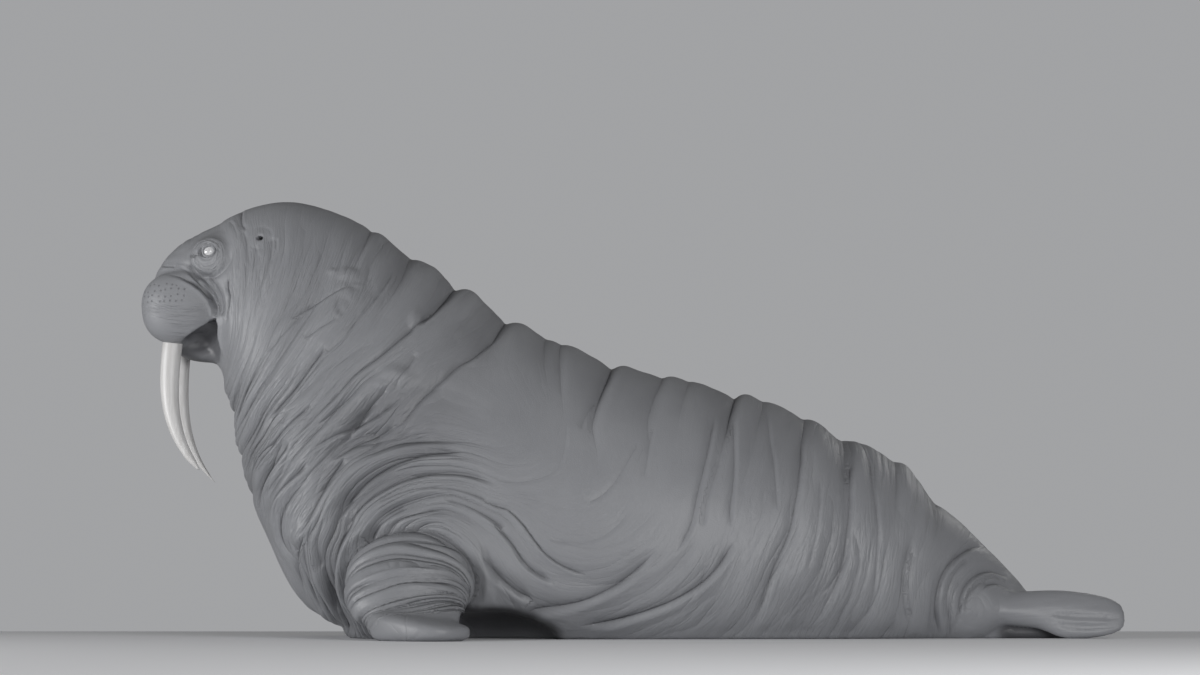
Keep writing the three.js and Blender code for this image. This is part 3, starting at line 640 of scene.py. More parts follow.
def jaw():
    """A tapering roll from chin to throat: half width and height times sin(pi v) to the power 0.7."""

    def shape(u, v):
        along = (1 - np.cos(np.pi * v)) / 2
        size = np.sin(np.pi * v) ** JAW["taper"]
        half = mix(JAW["front"], JAW["back"], ramp(along))
        y = half * size * power(np.cos(2 * np.pi * u), JAW["square"])
        z = mix(CHIN[1], THROAT[1], along) + JAW["high"] * size * power(np.sin(2 * np.pi * u), JAW["square"])
        return np.stack([mix(CHIN[0], THROAT[0], along), y, z], -1)

    return closed_surface(shape, *GRID["jaw"])


def lower_lip():
    """A round roll carried along a horseshoe in front of the jaw, with rounded ends."""

    def shape(u, v):
        a = (v - 0.5) * LIP["turn"] * np.pi
        roll = LIP["roll"] * capped(v, LIP["cap"])
        out = 1 + roll * np.cos(2 * np.pi * u) / LIP["half"]
        x = LIP["x"] - LIP["long"] * np.cos(a) * out
        return np.stack([x, LIP["half"] * np.sin(a) * out, LIP["z"] + roll * np.sin(2 * np.pi * u)], -1)

    return closed_surface(shape, *GRID["lip"])


def arm(side):
    """The sleeve: an oval, leaning outwards, carried along the stations of the arm, with rounded ends."""
    centres = [[a[0][i] for a in ARM] for i in range(3)]

    def shape(u, v):
        place = v * (len(ARM) - 1)
        x, y, z = (spline(c, place) for c in centres)
        cap = capped(v, ARM_CAP)
        along = (spline([a[1] for a in ARM], place) + ARM_LOOSE) * cap * np.cos(2 * np.pi * u)
        up = (spline([a[2] for a in ARM], place) + ARM_LOOSE) * cap * np.sin(2 * np.pi * u)
        lean = mix(*ARM_LEAN, v)
        y = -side * (y - up * lean)
        return np.stack([x + along, y, np.maximum(0, z + up * np.sqrt(1 - lean * lean))], -1)

    return closed_surface(shape, *GRID["arm"])


def between(across):
    """1 on the line between two digits and 0 on a digit, for -1 to 1 across the hand or foot."""
    return np.cos((across + 1) * DIGITS * np.pi / 2) ** 2


def hand(side):
    """A rounded paddle: thick at the wrist, thin and broad at the tips, and cut off flat at the floor.

    Across and forwards it is sine and cosine to the power 0.8, times the square root of sin(pi v).
    """
    turn = math.radians(HAND["turn"])
    c, s = math.cos(turn), math.sin(turn)
    form = HAND_FORM

    def shape(u, v):
        ring = np.sin(np.pi * v) ** form["round"]
        across = power(np.sin(2 * np.pi * u), form["boxy"]) * ring
        forward = power(np.cos(2 * np.pi * u), form["boxy"]) * ring
        reach = ramp(forward)
        a = HAND["long"] * forward - form["corner"] * reach * np.maximum(0, across) ** 2
        b = HAND["half"] * across * mix(form["narrow"], form["broad"], (forward + 1) / 2)
        groove = 1 - form["groove"] * between(across) * reach
        thick = mix(HAND["wrist"], HAND["tip"], ramp((forward + 1) / 2)) * groove
        z = np.maximum(0, thick * (form["lift"] - power(np.cos(np.pi * v), form["flat"])))
        return np.stack([HAND["x"] + a * c - b * s, -side * (HAND["y"] + a * s + b * c), z], -1)

    return closed_surface(shape, *GRID["hand"])


def sole(side):
    """The hind flipper: a folded fan on its edge, ever thinner, with its digits along the lower side.

    Height and thickness are sine and cosine, times sin(pi v) to the power 0.55. The lower edge starts raised.
    """
    lean = math.radians(SOLE["lean"])

    def shape(u, v):
        along = (1 - np.cos(np.pi * v)) / 2
        size = np.sin(np.pi * v) ** SOLE["taper"]
        upper = np.sin(2 * np.pi * u)
        b = SOLE["half"] * size * mix(SOLE["root"], 1, ramp(along * SOLE["widen"])) * upper
        b = np.where(upper < 0, b * mix(SOLE["raised"], 1, rise(along, *SOLE_LOWERED)), b)
        edge = rise(along, *DIGITS_ALONG) * fall(upper, *DIGITS_BELOW)
        thick = mix(SOLE["thick"], SOLE["thick"] / 2, along) - SOLE["lobe"] * between(upper) * edge
        w = thick * size * np.cos(2 * np.pi * u)
        x, y, z = (mix(SOLE_START[i], SOLE_END[i], along) for i in range(3))
        y = side * (y + w * math.cos(lean) - b * math.sin(lean))
        return np.stack([x, y, np.maximum(0, z + b * math.cos(lean) + w * math.sin(lean))], -1)

    return closed_surface(shape, *GRID["sole"])


def tail():
    """A short flat tab: an ellipse times sin(pi v) to the power 0.7."""

    def shape(u, v):
        along = (1 - np.cos(np.pi * v)) / 2
        size = np.sin(np.pi * v) ** TAIL["taper"]
        y = TAIL["half"] * size * np.cos(2 * np.pi * u)
        z = TAIL["z"] - TAIL["drop"] * along + TAIL["thick"] * size * np.sin(2 * np.pi * u)
        return np.stack([mix(TAIL["start"], TAIL["end"], along), y, z], -1)

    return closed_surface(shape, *GRID["tail"])


def tusk(side, sizes):
    """An oval carried down the path x = back v^4 - bow v (1 - v), tapering with v^2.6 on the way down."""
    drop, back, spread, tip = sizes
    tip_long, tip_round = TUSK_TIP

    def shape(u, v):
        end = 1 - ramp((v - 1) / tip_long + 1) * tip_round
        taper = mix(1, tip, v**TUSK_TAPER) * end * ((v > 0) & (v < 1))
        x = TUSK_FOOT[0] + back * v**4 - TUSK_BOW * v * (1 - v) + TUSK_HALF[0] * taper * np.cos(2 * np.pi * u)
        y = side * (TUSK_FOOT[1] + spread * v) + TUSK_HALF[1] * taper * np.sin(2 * np.pi * u)
        return np.stack([x, y, TUSK_FOOT[2] + TUSK_ROOT - (drop + TUSK_ROOT) * v], -1)

    return closed_surface(shape, *GRID["tusk"])


# Distance fields


def joined(a, b, radius):
    """Two distances with a rounded inner corner: min(a, b) - h^2 r / 4, where h = max(r - |a - b|, 0) / r."""
    h = np.maximum(radius - np.abs(a - b), 0) / radius
    return np.minimum(a, b) - h * h * (radius / 4)


class Field:
    """Distances to a closed surface on a block of voxels, negative inside."""

    def __init__(self):
        """A block in which nothing is near."""
        self.values = np.full(CELLS, BAND * VOXEL, np.float32)

    def near(self, surface):
        """The block of voxels round a closed surface, and its distances there."""
        points, triangles = surface
        grid = openvdb.FloatGrid.createLevelSetFromPolygons(
            points.astype(np.float32),
            triangles=triangles.astype(np.uint32),
            transform=openvdb.createLinearTransform(voxelSize=VOXEL),
            halfWidth=float(BAND),
        )
        low, high = (np.array(c) for c in grid.evalActiveVoxelBoundingBox())
        low, high = np.maximum(low, CORNER), np.minimum(high + 1, CORNER + CELLS)
        other = np.empty(high - low, np.float32)
        grid.copyToArray(other, ijk=tuple(int(i) for i in low))
        return tuple(slice(a, b) for a, b in zip(low - CORNER, high - CORNER)), other

    def add(self, surface, radius):
        """Joins a surface on, with a rounded inner corner."""
        window, other = self.near(surface)
        self.values[window] = joined(self.values[window], other, radius)
        return self

    def cut(self, surface, radius):
        """Takes the inside of a surface away, with a rounded edge: the join of the two outsides."""
        window, other = self.near(surface)
        self.values[window] = -joined(-self.values[window], other, radius)
        return self

    def first_mesh(self):
        """The zero level on every STRIDE-th voxel, as points and outward triangles."""
        coarse = np.ascontiguousarray(self.values[::STRIDE, ::STRIDE, ::STRIDE])
        grid = openvdb.FloatGrid(BAND * VOXEL)
        grid.copyFromArray(coarse, ijk=tuple(int(i) for i in CORNER // STRIDE))
        grid.transform = openvdb.createLinearTransform(voxelSize=VOXEL * STRIDE)
        points, triangles, quads = grid.convertToPolygons(isovalue=0.0, adaptivity=0.0)
        quads = quads.astype(np.int64)
        triangles = np.concatenate([triangles.astype(np.int64), quads[:, [0, 1, 2]], quads[:, [0, 2, 3]]])
        points = points.astype(float)
        if signed_volume(points, triangles) < 0:
            triangles = triangles[:, ::-1]
        return points, triangles

    def probe(self, points):
        """Distance and its slope at points, by a quadratic B-spline over the 27 nearest voxels."""
        at = points / VOXEL - CORNER
        near = np.clip(np.rint(at), 1, CELLS - 2).astype(int)
        t = at - near
        weight = np.stack([(0.5 - t) ** 2 / 2, 0.75 - t * t, (0.5 + t) ** 2 / 2])
        rise = np.stack([t - 0.5, -2 * t, t + 0.5])
        value, slope = np.zeros(len(points)), np.zeros((len(points), 3))
        for i, j, k in np.ndindex(3, 3, 3):
            f = self.values[near[:, 0] + i - 1, near[:, 1] + j - 1, near[:, 2] + k - 1]
            value += f * weight[i, :, 0] * weight[j, :, 1] * weight[k, :, 2]
            slope[:, 0] += f * rise[i, :, 0] * weight[j, :, 1] * weight[k, :, 2]
            slope[:, 1] += f * weight[i, :, 0] * rise[j, :, 1] * weight[k, :, 2]
            slope[:, 2] += f * weight[i, :, 0] * weight[j, :, 1] * rise[k, :, 2]
        return value, slope / VOXEL

    def settle(self, points, steps=2):
        """Moves points onto the zero level: value / slope^2 along the slope, at most two voxels a step."""
        for _ in range(steps):
            value, slope = self.probe(points)
            square = np.maximum((slope**2).sum(1), STEEPEST_STEP)
            step = np.clip(value / square, -2 * VOXEL, 2 * VOXEL)
            points = points - step[:, None] * slope
        return points


def body_fields():
    """The field of the whole body, and how much further each place is from the body than from the limbs."""
    body, limbs = Field(), Field()
    body.add(trunk(), BLEND["first"])
    body.add(ellipsoid(NOSE), BLEND["nose"])
    body.add(jaw(), BLEND["jaw"])
    body.add(lower_lip(), BLEND["lip"])
    body.add(tail(), BLEND["tail"])
    for side in (-1, 1):
        body.add(ellipsoid(ORBIT, side), BLEND["orbit"])
        body.add(ellipsoid(PAD, side, *GRID["pad"]), BLEND["pad"])
        limbs.add(arm(side), BLEND["first"])
        limbs.add(hand(side), BLEND["hand"])
        limbs.add(ellipsoid(ANKLE, side), BLEND["first"])
        limbs.add(sole(side), BLEND["sole"])
        limbs.add(ellipsoid(HEEL, side), BLEND["heel"])
        body.cut(ellipsoid(ARM_HOLLOW, side), BLEND["hollow"])
    trunk_alone = body.values.copy()
    x = (CORNER[0] + np.arange(CELLS[0])) * VOXEL
    radius = np.where(x < MIDDLE, BLEND["forelimb"], BLEND["hindlimb"])[:, None, None]
    body.values = joined(body.values, limbs.values, radius)
    limbs.values = limbs.values - trunk_alone
    return body, limbs


# Meshes


def split_long(points, triangles, longest):
    """Halves each edge longer than longest(its middle), and cuts the triangles into two to four to match."""
    ends = np.sort(triangles[:, [[0, 1], [1, 2], [2, 0]]], axis=2).astype(np.int64)
    keys, which = np.unique(ends[..., 0] * len(points) + ends[..., 1], return_inverse=True)
    which = which.reshape(-1, 3)
    a, b = points[keys // len(points)], points[keys % len(points)]
    middle = (a + b) / 2
    split = np.linalg.norm(a - b, axis=1) > longest(middle)
    number = np.full(len(keys), -1)
    number[split] = len(points) + np.arange(split.sum())
    halves = number[which]
    count = (halves >= 0).sum(1)
    turn = np.zeros(len(triangles), int)
    turn[count == 1] = np.argmax(halves[count == 1] >= 0, axis=1)
    turn[count == 2] = (np.argmin(halves[count == 2] >= 0, axis=1) + 1) % 3
    order = (turn[:, None] + np.arange(3)) % 3
    tri = np.take_along_axis(triangles, order, 1)
    mid = np.take_along_axis(halves, order, 1)
    p, q, r = tri.T
    m, n, o = mid.T
    cuts = {
        0: [(p, q, r)],
        1: [(p, m, r), (m, q, r)],
        2: [(m, q, n), (p, m, n), (p, n, r)],
        3: [(p, m, o), (m, q, n), (n, r, o), (m, n, o)],
    }
    pieces = [np.stack([x[count == k] for x in t], 1) for k, ts in cuts.items() for t in ts]
    return np.concatenate([points, middle[split]]), np.concatenate(pieces)


def relax(points, triangles, share):
    """Moves each point a share of the way to the mean of its neighbours."""
    pairs = np.concatenate([triangles[:, [0, 1]], triangles[:, [1, 2]], triangles[:, [2, 0]]])
    total = np.stack([np.bincount(pairs[:, 0], points[pairs[:, 1], i], len(points)) for i in range(3)], 1)
    total += np.stack([np.bincount(pairs[:, 1], points[pairs[:, 0], i], len(points)) for i in range(3)], 1)
    count = np.bincount(pairs.ravel(), minlength=len(points))
    return mix(points, total / count[:, None], share)


def normals_of(points, triangles):
    """Unit normals at the points, by the area of the triangles round them."""
    a, b, c = (points[triangles[:, i]] for i in range(3))
    face = np.cross(b - a, c - a)
    corners = triangles.ravel()
    total = np.stack([np.bincount(corners, np.repeat(face[:, i], 3), len(points)) for i in range(3)], 1)
    return total / np.maximum(np.linalg.norm(total, axis=1, keepdims=True), 1e-12)


def make_piece(name, points, triangles, material, nodes):
    """A smooth mesh object that rides on the body and stands for CAD nodes."""
    mesh = bpy.data.meshes.new(name)
    mesh.from_pydata(points.tolist(), [], triangles.tolist())
    mesh.shade_smooth()
    mesh.materials.append(material)
    piece = bpy.data.objects.new(name, mesh)
    bpy.context.scene.collection.objects.link(piece)
    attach(piece, "root")
    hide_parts(*nodes)
    return piece


def thin_out(piece, triangles):
    """Joins the flattest neighbouring triangles until so many are left."""
    modifier = piece.modifiers.new("thin_out", "DECIMATE")
    modifier.ratio = triangles / len(piece.data.polygons)
    whole = piece.data
    piece.data = bpy.data.meshes.new_from_object(piece.evaluated_get(bpy.context.evaluated_depsgraph_get()))
    piece.modifiers.clear()
    bpy.data.meshes.remove(whole)


def keep_attribute(piece, name, values):
    """Stores a number or a vector at each point of a piece."""
    vector = values.ndim == 2
    attribute = piece.data.attributes.new(name, "FLOAT_VECTOR" if vector else "FLOAT", "POINT")
    attribute.data.foreach_set("vector" if vector else "value", values.astype(np.float32).ravel())


# Folds and features of the skin


def flow_of(points):
    """Where on the spine the fold line through each point starts, and how far down the line the point is."""
    knots, values = [], []
    for start, line in FLOW:
        line = np.array(line)
        down = np.concatenate([[0], np.cumsum(np.linalg.norm(np.diff(line, axis=0), axis=1))])
        knots.append(line)
        values.append(np.stack([np.full(len(line), start), down], 1))
    return thin_plate(np.concatenate(knots), np.concatenate(values), points[:, [0, 2]], FLOW_SMOOTH)


def line_distance(points, line):
    """Distance to a chain of straight stretches, the share of the way along it, and the side in side view."""
    line = np.asarray(line, float)
    best, along, side = np.full(len(points), np.inf), np.zeros(len(points)), np.ones(len(points))
    for i, (a, b) in enumerate(zip(line[:-1], line[1:])):
        t = np.clip((points - a) @ (b - a) / np.sum((b - a) ** 2), 0, 1)
        away = np.linalg.norm(points - a - t[:, None] * (b - a), axis=1)
        nearer = away < best
        best[nearer], along[nearer] = away[nearer], (i + t[nearer]) / (len(line) - 1)
        turn = (b - a)[0] * (points[:, 2] - a[2]) - (b - a)[2] * (points[:, 0] - a[0])
        side[nearer] = np.where(turn[nearer] < 0, -1, 1)
    return best, along, side


def mirrored(points):
    """The points with those of the right side moved to the left."""
    return points * (1, 0, 1) - np.abs(points) * (0, 1, 0)


def in_plane(line):
    """A line of the side view as points of space."""
    return np.array([(x, 0, z) for x, z in line])


def oval(points, x, z, long, high):
    """The square of the distance from a place in side view, with the half sizes of an oval as its units."""
    return ((points[:, 0] - x) / long) ** 2 + ((points[:, 2] - z) / high) ** 2


def strength_of(points):
    """Strength of the folds: the values of STRENGTH, weighted by exp(-(distance / reach)^2)."""
    table = np.array(STRENGTH)
    d2 = ((points[:, None, [0, 2]] - table[None, :, :2]) ** 2).sum(-1)
    weight = np.exp(-(d2 - d2.min(1, keepdims=True)) / STRENGTH_REACH**2)
    return (weight * table[:, 2]).sum(1) / weight.sum(1)


def arm_place(points):
    """Distance down the axis of the arm, and the angle round it."""
    line = np.array([a[0] for a in ARM])
    at = mirrored(points)
    _, along, _ = line_distance(at, line)
    length = np.linalg.norm(np.diff(line, axis=0), axis=1).sum()
    centre = np.stack([spline(line[:, i], along * (len(line) - 1)) for i in range(3)], 1)
    angle = np.arctan2(at[:, 2] - centre[:, 2] + ARM_AXIS_LOW, at[:, 0] - centre[:, 0])
    return along * length, angle


class Lines:
    """The sharp bottoms of folds: how far off the nearest is, and its depth, which fades LINE_REACH away."""

    def __init__(self, count):
        """No line near any of so many points."""
        self.away = np.full(count, LINE_REACH)
        self.depth = np.zeros(count)
        self.best = np.zeros(count)

    def note(self, away, depth):
        """Keeps a line where its depth times exp(-distance / 12 mm) is more than that of the ones before."""
        weight = depth * np.exp(-np.abs(away) / LINE_NEAR)
        better = weight > self.best
        self.best[better] = weight[better]
        self.away[better] = away[better]
        self.depth[better] = (depth * ramp(1 - np.abs(away) / LINE_REACH))[better]


def fold_across(away, depth, width):
    """A valley exp(-distance / width), gentle ahead of its bottom and steep behind, and a swelling there."""
    if depth < 0:
        depth, away = -depth, -away
    ahead, behind = FOLD_SLOPES
    height, place, half = FOLD_SWELL
    slope = np.where(away < 0, ahead * width, behind * width)
    off = np.sqrt(away**2 + FOLD_BLUNT**2) - FOLD_BLUNT
    swell = height * np.exp(-(((away - place * width) / (half * width)) ** 2))
    return depth * (swell - np.exp(-off / slope))


def fading(share):
    """1 between shares 0 and 1 of the way along a fold, and 0 beyond its ends."""
    return ramp(share / FOLD_ENDS) * ramp((1 - share) / FOLD_ENDS)


def arcs_round(points, centre, arcs, wander, lines):
    """Folds at a distance from a centre that changes evenly with the angle, as heights."""
    rel = points[:, [0, 2]] - centre
    radius = np.linalg.norm(rel, axis=1) + wander
    angle = np.degrees(np.arctan2(rel[:, 1], rel[:, 0]))
    angle = np.where(angle < -90, angle + 360, angle)
    relief = np.zeros(len(points))
    for first, near, last, far, depth, width in arcs:
        share = (angle - first) / (last - first)
        away = mix(near, far, share) - radius
        relief += fold_across(away, depth, width) * fading(share)
        lines.note(away, depth * fading(share))
    return relief


def fold_noise(across, along, third, sizes, seed):
    """Noise along a flow, for large and for middle folds, leaning over: n(x + 0.3 |n|^0.62)."""
    layers = []
    for i, (wide, long) in enumerate(sizes):
        at = np.stack([across / wide, along / long, third + LAYERS_APART * i], 1)
        lean = LEAN * pillows(gradient_noise(at, seed + i), SOFT)
        layers.append(gradient_noise(at + lean[:, None] * (1, 0, 0), seed + i))
    return np.stack(layers, 1)


def noise_relief(noise):
    """Height of the noise folds, as a share of their depth."""
    return FOLD_SHARES[0] * pillows(noise[:, 0], SOFT) + FOLD_SHARES[1] * pillows(noise[:, 1], SOFT)


def creases_across(start, down, sizes, relief, lines):
    """Adds the creases across the back to the relief: exp(-distance / width), with a roll behind each."""
    share, place_behind, half = CREASE_SWELL
    for place, depth, reach in CREASES:
        away = start - place
        width = np.where(away > 0, CREASE_BEHIND, CREASE_AHEAD)
        fade = sizes.crease_depth * depth * np.exp(-((np.maximum(down - CREASE_TOP, 0) / reach) ** 2))
        swell = share * np.exp(-(((away - place_behind) / half) ** 2))
        off = np.sqrt(away**2 + CREASE_BLUNT**2) - CREASE_BLUNT
        relief += fade * (swell - np.exp(-off / width))
        lines.note(away, CREASE_LINE * fade)


def with_bosses(points, relief):
    """The relief with the bosses on the neck, height times exp(-d^3), and calmer folds round each."""
    for x, z, along, across, height in BOSSES:
        d2 = oval(points, x, z, along, across)
        boss = relief * BOSS_CALM + height * np.exp(-(d2**1.5))
        relief = np.where(d2 < BOSS_REACH, mix(relief, boss, np.exp(-(d2**2) / 4)), relief)
    return relief


def body_relief(points, flow, stretch, sizes, lines):
    """Folds and creases of trunk and neck, as heights, with the noise of the smaller folds and its depth."""
    start, down = flow.T
    thick = points[:, 1] / FOLD_ACROSS
    wander = sum(depth * gradient_noise(points / size, seed) for depth, size, seed in WANDER)
    noise = fold_noise(start + wander, down, thick, BODY_FOLDS, SEEDS["folds"])
    mean, change, patch = PATCHES
    patches = mean + change * gradient_noise(points / patch, SEEDS["patches"])
    amount = sizes.fold_depth * strength_of(points) * patches
    amount = np.maximum(amount, 0) / np.clip(stretch, *STRETCH) ** STRETCH_POWER
    across, along, height = ROLLS
    rolls = gradient_noise(np.stack([(start + wander) / across, down / along, thick], 1), SEEDS["rolls"])
    relief = amount * (noise_relief(noise) + height * rolls)
    drift = wander * np.where(points[:, 1] < 0, NEAR_DRIFT, 1.0)
    for upper, lower, first, last, depth, width in FOLDS:
        share = (down - first) / (last - first)
        away = (start + drift - mix(upper, lower, share)) / stretch
        depth = sizes.long_depth * depth
        relief += fold_across(away, depth, width) * fading(share)
        lines.note(away, depth * fading(share))
    relief += sizes.long_depth * arcs_round(points, ARM_CENTRE, ARM_ARCS, drift, lines)
    relief += sizes.long_depth * arcs_round(points, HIND_CENTRE, HIND_ARCS, drift, lines)
    creases_across(start + drift, down, sizes, relief, lines)
    return with_bosses(points, relief), noise, amount


def limb_places(points):
    """Flows of the limbs, across the folds and along them, and how much hand and foot there is.

    The flow of the forelimb goes round the arm. That of the hind limb has two columns for the ankle, then two
    for the flipper.
    """
    down, angle = arm_place(points)
    at = mirrored(points)
    rel = points[:, [0, 2]] - np.array([ANKLE["x"], ANKLE["z"]])
    radius, round_ankle = np.linalg.norm(rel, axis=1), np.arctan2(rel[:, 1], rel[:, 0])
    on_hand = fall(points[:, 2], *HAND_BELOW) * fall(at[:, 1], *HAND_OUTSIDE)
    on_foot = rise(points[:, 0], *FOOT_BEHIND)
    fore = np.stack([down, angle * ARM_GIRTH], 1)
    hind = np.stack([radius, round_ankle * ANKLE_GIRTH, points[:, 2], points[:, 0]], 1)
    return fore, hind, on_hand, on_foot


def limb_relief(points, places, sizes):
    """Rings of loose skin round arm and ankle, and grooves along the foot: heights, noise and its depth."""
    fore, hind, on_hand, on_foot = places
    side = SIDES_APART * np.sign(points[:, 1])
    depth, size = LIMB_WANDER
    wander = depth * gradient_noise(points / size, SEEDS["limbs"])
    arm_rings = fold_noise(fore[:, 0] + wander, fore[:, 1], side, ARM_FOLDS, SEEDS["arm"])
    ankle_rings = fold_noise(hind[:, 0] + wander, hind[:, 1], side, ANKLE_FOLDS, SEEDS["ankle"])
    foot_grooves = fold_noise(hind[:, 2], hind[:, 3], side, FOOT_FOLDS, SEEDS["foot"])
    ahead = points[:, 0] < MIDDLE
    noise = np.where(ahead[:, None], arm_rings, mix(ankle_rings, foot_grooves, on_foot[:, None]))
    fore_depth = mix(RINGS["arm"], RINGS["hand"], on_hand)
    hind_depth = mix(RINGS["ankle"], RINGS["foot"], on_foot)
    amount = sizes.ring_depth * np.where(ahead, fore_depth, hind_depth)
    return amount * noise_relief(noise), noise, amount


def armpit_crease(points, edge, lines):
    """The deep crease where the sleeve comes out of the body, and the body's lip over it.

    edge is the distance from the join, above 0 on the body and below 0 on the sleeve.
    """
    here = fall(points[:, 0], MIDDLE, 0.1) * rise(points[:, 2], *ARMPIT_ABOVE)
    lines.note(edge, ARMPIT["line"] * here)
    lip = ARMPIT["lip"] * np.exp(-(((edge - ARMPIT["place"]) / ARMPIT["half"]) ** 2))
    return here * (lip - ARMPIT["depth"] * np.exp(-np.abs(edge) / ARMPIT["width"]))


def under_pad(at):
    """Depth below the lower edge of the muzzle pad, in side view."""
    (x0, z0), (x1, z1) = UNDER_PAD
    return z0 + (at[:, 0] - x0) * (z1 - z0) / (x1 - x0) - at[:, 2]


def painted_shade_of(points):
    """How much shade is painted on the skin: behind the tusks, in the hollow under the flank, and under the
    heel.
    """
    at = mirrored(points)
    x, y, z = at.T
    mouth = ramp((under_pad(at) + 0.004) / 0.012) * ramp((CHEEK_EDGE + 0.006 - x) / 0.014)
    mouth = MOUTH_SHADE * mouth * (z > 0.90) * (x > -1.50)
    size = np.array([ARM_HOLLOW["long"], ARM_HOLLOW["wide"], ARM_HOLLOW["high"]]) + FLANK_SHADE_OVER
    away = np.linalg.norm((at - (ARM_HOLLOW["x"], -ARM_HOLLOW["y"], 0)) / size, axis=1)
    flank = fall(away, 1, 0.25) * ramp((x + 0.56) / 0.06) * ramp((y + 0.60) / 0.04)
    heel = fall(z, 0.060, 0.02) * rise(x, 1.17, 0.05) * fall(x, 1.42, 0.06) * ramp((y + 0.190) / 0.02)
    return np.maximum(np.maximum(mouth, flank), HEEL_SHADE * heel)


def pad_bands(at, relief):
    """Adds the bands of skin behind the muzzle pads to the relief, and gives the distance from the pads."""
    pad = np.array([PAD["x"], -PAD["y"], PAD["z"]])
    off = np.linalg.norm((at - pad) / (PAD["long"], PAD["wide"], PAD["high"]), axis=1)
    angle = np.arctan2(at[:, 2] - pad[2], at[:, 0] - pad[0]) * PAD_BANDS_LONG
    bands = 0.0
    for width, height in PAD_BANDS:
        noise = gradient_noise(np.stack([off / width, angle, at[:, 1]], 1), SEEDS["pad"])
        bands = bands + height * pillows(noise, SOFT)
    relief += rise(off, *PAD_BANDS_FROM) * fall(off, *PAD_BANDS_TO) * bands
    return off


def rings(distance, table):
    """The sum of rings, each its height times exp(-d^2), with d the distance from it in half widths."""
    return sum(height * np.exp(-(((distance - radius) / half) ** 2)) for radius, height, half in table)


def eye_rings(points, at, sizes, relief):
    """Adds the swelling and the rings round the eyes to the relief, and gives the distance from the eye."""
    rel = (at - (EYE[0], 0, EYE[2])) * (1, 0, EYE_TALL)
    amount, wave = RING_WOBBLE
    wobble = 1 + amount * gradient_noise(points / wave, SEEDS["eye"])
    shift = np.array([EYE_SWELL_SHIFT[0], 0, EYE_SWELL_SHIFT[1]])
    swell_at = rel - shift
    beside = fall(at[:, 1], *EYE_SIDE)
    reach, height = EYE_SWELL
    end, over = EYE_SWELL_ENDS
    relief += height * fall(np.linalg.norm(swell_at[:, [0, 2]], axis=1), end * reach, over * reach) * beside
    full, bend = RING_SHIFT
    least, top, over = RING_BELOW
    for radius, height, width in EYE_RINGS:
        middle = shift * min(1, radius / full) ** bend
        r = np.linalg.norm((rel - middle)[:, [0, 2]], axis=1) * wobble
        below = fall(swell_at[:, 2], top, over) if radius > least else 1
        relief += sizes.face_depth * height * below * np.exp(-(((r - radius) / width) ** 2)) * beside
    return np.linalg.norm(rel[:, [0, 2]], axis=1)


def face_relief(points, sizes, lines):
    """Lines, rings, hollows and wrinkles of the face, as heights, with distances from pad and eye."""
    at = mirrored(points)
    relief = np.zeros(len(points))
    starts, ends = FACE_FADES
    for line, depth, width in FACE_LINES:
        away, along, side = line_distance(at * (1, 0, 1), in_plane(line))
        share = sizes.face_depth * ramp(along / starts) * ramp((1 - along) / ends) * (at[:, 0] < FACE_END)
        relief += fold_across(away * side, depth, width) * share
        lines.note(away * side, abs(depth) * share)
    from_pad = pad_bands(at, relief)
    from_eye = eye_rings(points, at, sizes, relief)
    ear = np.linalg.norm((at - (EAR[0], 0, EAR[2]))[:, [0, 2]], axis=1)
    relief += rings(ear, EAR_RINGS) * (at[:, 1] < EAR_SIDE)
    x, z, reach, depth = MOUTH_HOLLOW
    hollow = np.exp(-((at[:, 0] - x) ** 2 + (at[:, 2] - z) ** 2) / reach**2)
    hollow = hollow * fall(at[:, 0], CHEEK_EDGE, HOLLOW_SOFT) * ramp((under_pad(at) + 0.006) / HOLLOW_SOFT)
    relief -= depth * hollow * fall(at[:, 1], *HOLLOW_SIDE)
    return relief, from_pad, from_eye


def lids(at, opening):
    """Where from side to side the lids are at each point, and how much they count there."""
    rel = at - (EYE[0], -EYE[1], EYE[2])
    long, high = opening
    slant = LID["slant"]
    a = rel[:, 0] * math.cos(slant) + rel[:, 2] * math.sin(slant)
    b = rel[:, 2] * math.cos(slant) - rel[:, 0] * math.sin(slant)
    r = np.sqrt((a / long) ** 2 + (b / high) ** 2)
    here = (at[:, 1] < -LID_SPACE) * (np.linalg.norm(rel, axis=1) < LID_SPACE)
    near = fall(np.hypot(a, b), *LID_NEAR) * here
    ball = np.sqrt(np.maximum(EYEBALL**2 - rel[:, 0] ** 2 - rel[:, 2] ** 2, 0))
    edge = ball + LID["off"] + LID["roll"] * rise(r, *LID_ROLL) - LID["fall"] * rise(r, *LID_FALL)
    height = np.where(r < 1, ball - LID["inside"], edge)
    target = -EYE[1] - np.maximum(height, LID["least"] * fall(r, LID["reach"], 0.9))
    return target, near * fall(r, LID["reach"], 0.5)


def lids_and_openings(points, opening):
    """Shapes lids, ear holes and nostrils by moving points along an axis of their own."""
    at = mirrored(points)
    out = points.copy()
    side = np.where(points[:, 1] < 0, 1, -1)
    target, weight = lids(at, opening)
    out[:, 1] = side * mix(side * out[:, 1], target, weight)
    for place, size, depth, axis in OPENINGS:
        rel = at - (place[0], -place[1], place[2])
        push = depth * fall(np.linalg.norm(rel / size, axis=1), *OPENING_RIM)
        axis = np.array(axis) / np.linalg.norm(axis)
        out += push[:, None] * axis * np.stack([np.ones(len(out)), side, np.ones(len(out))], 1)
    return out


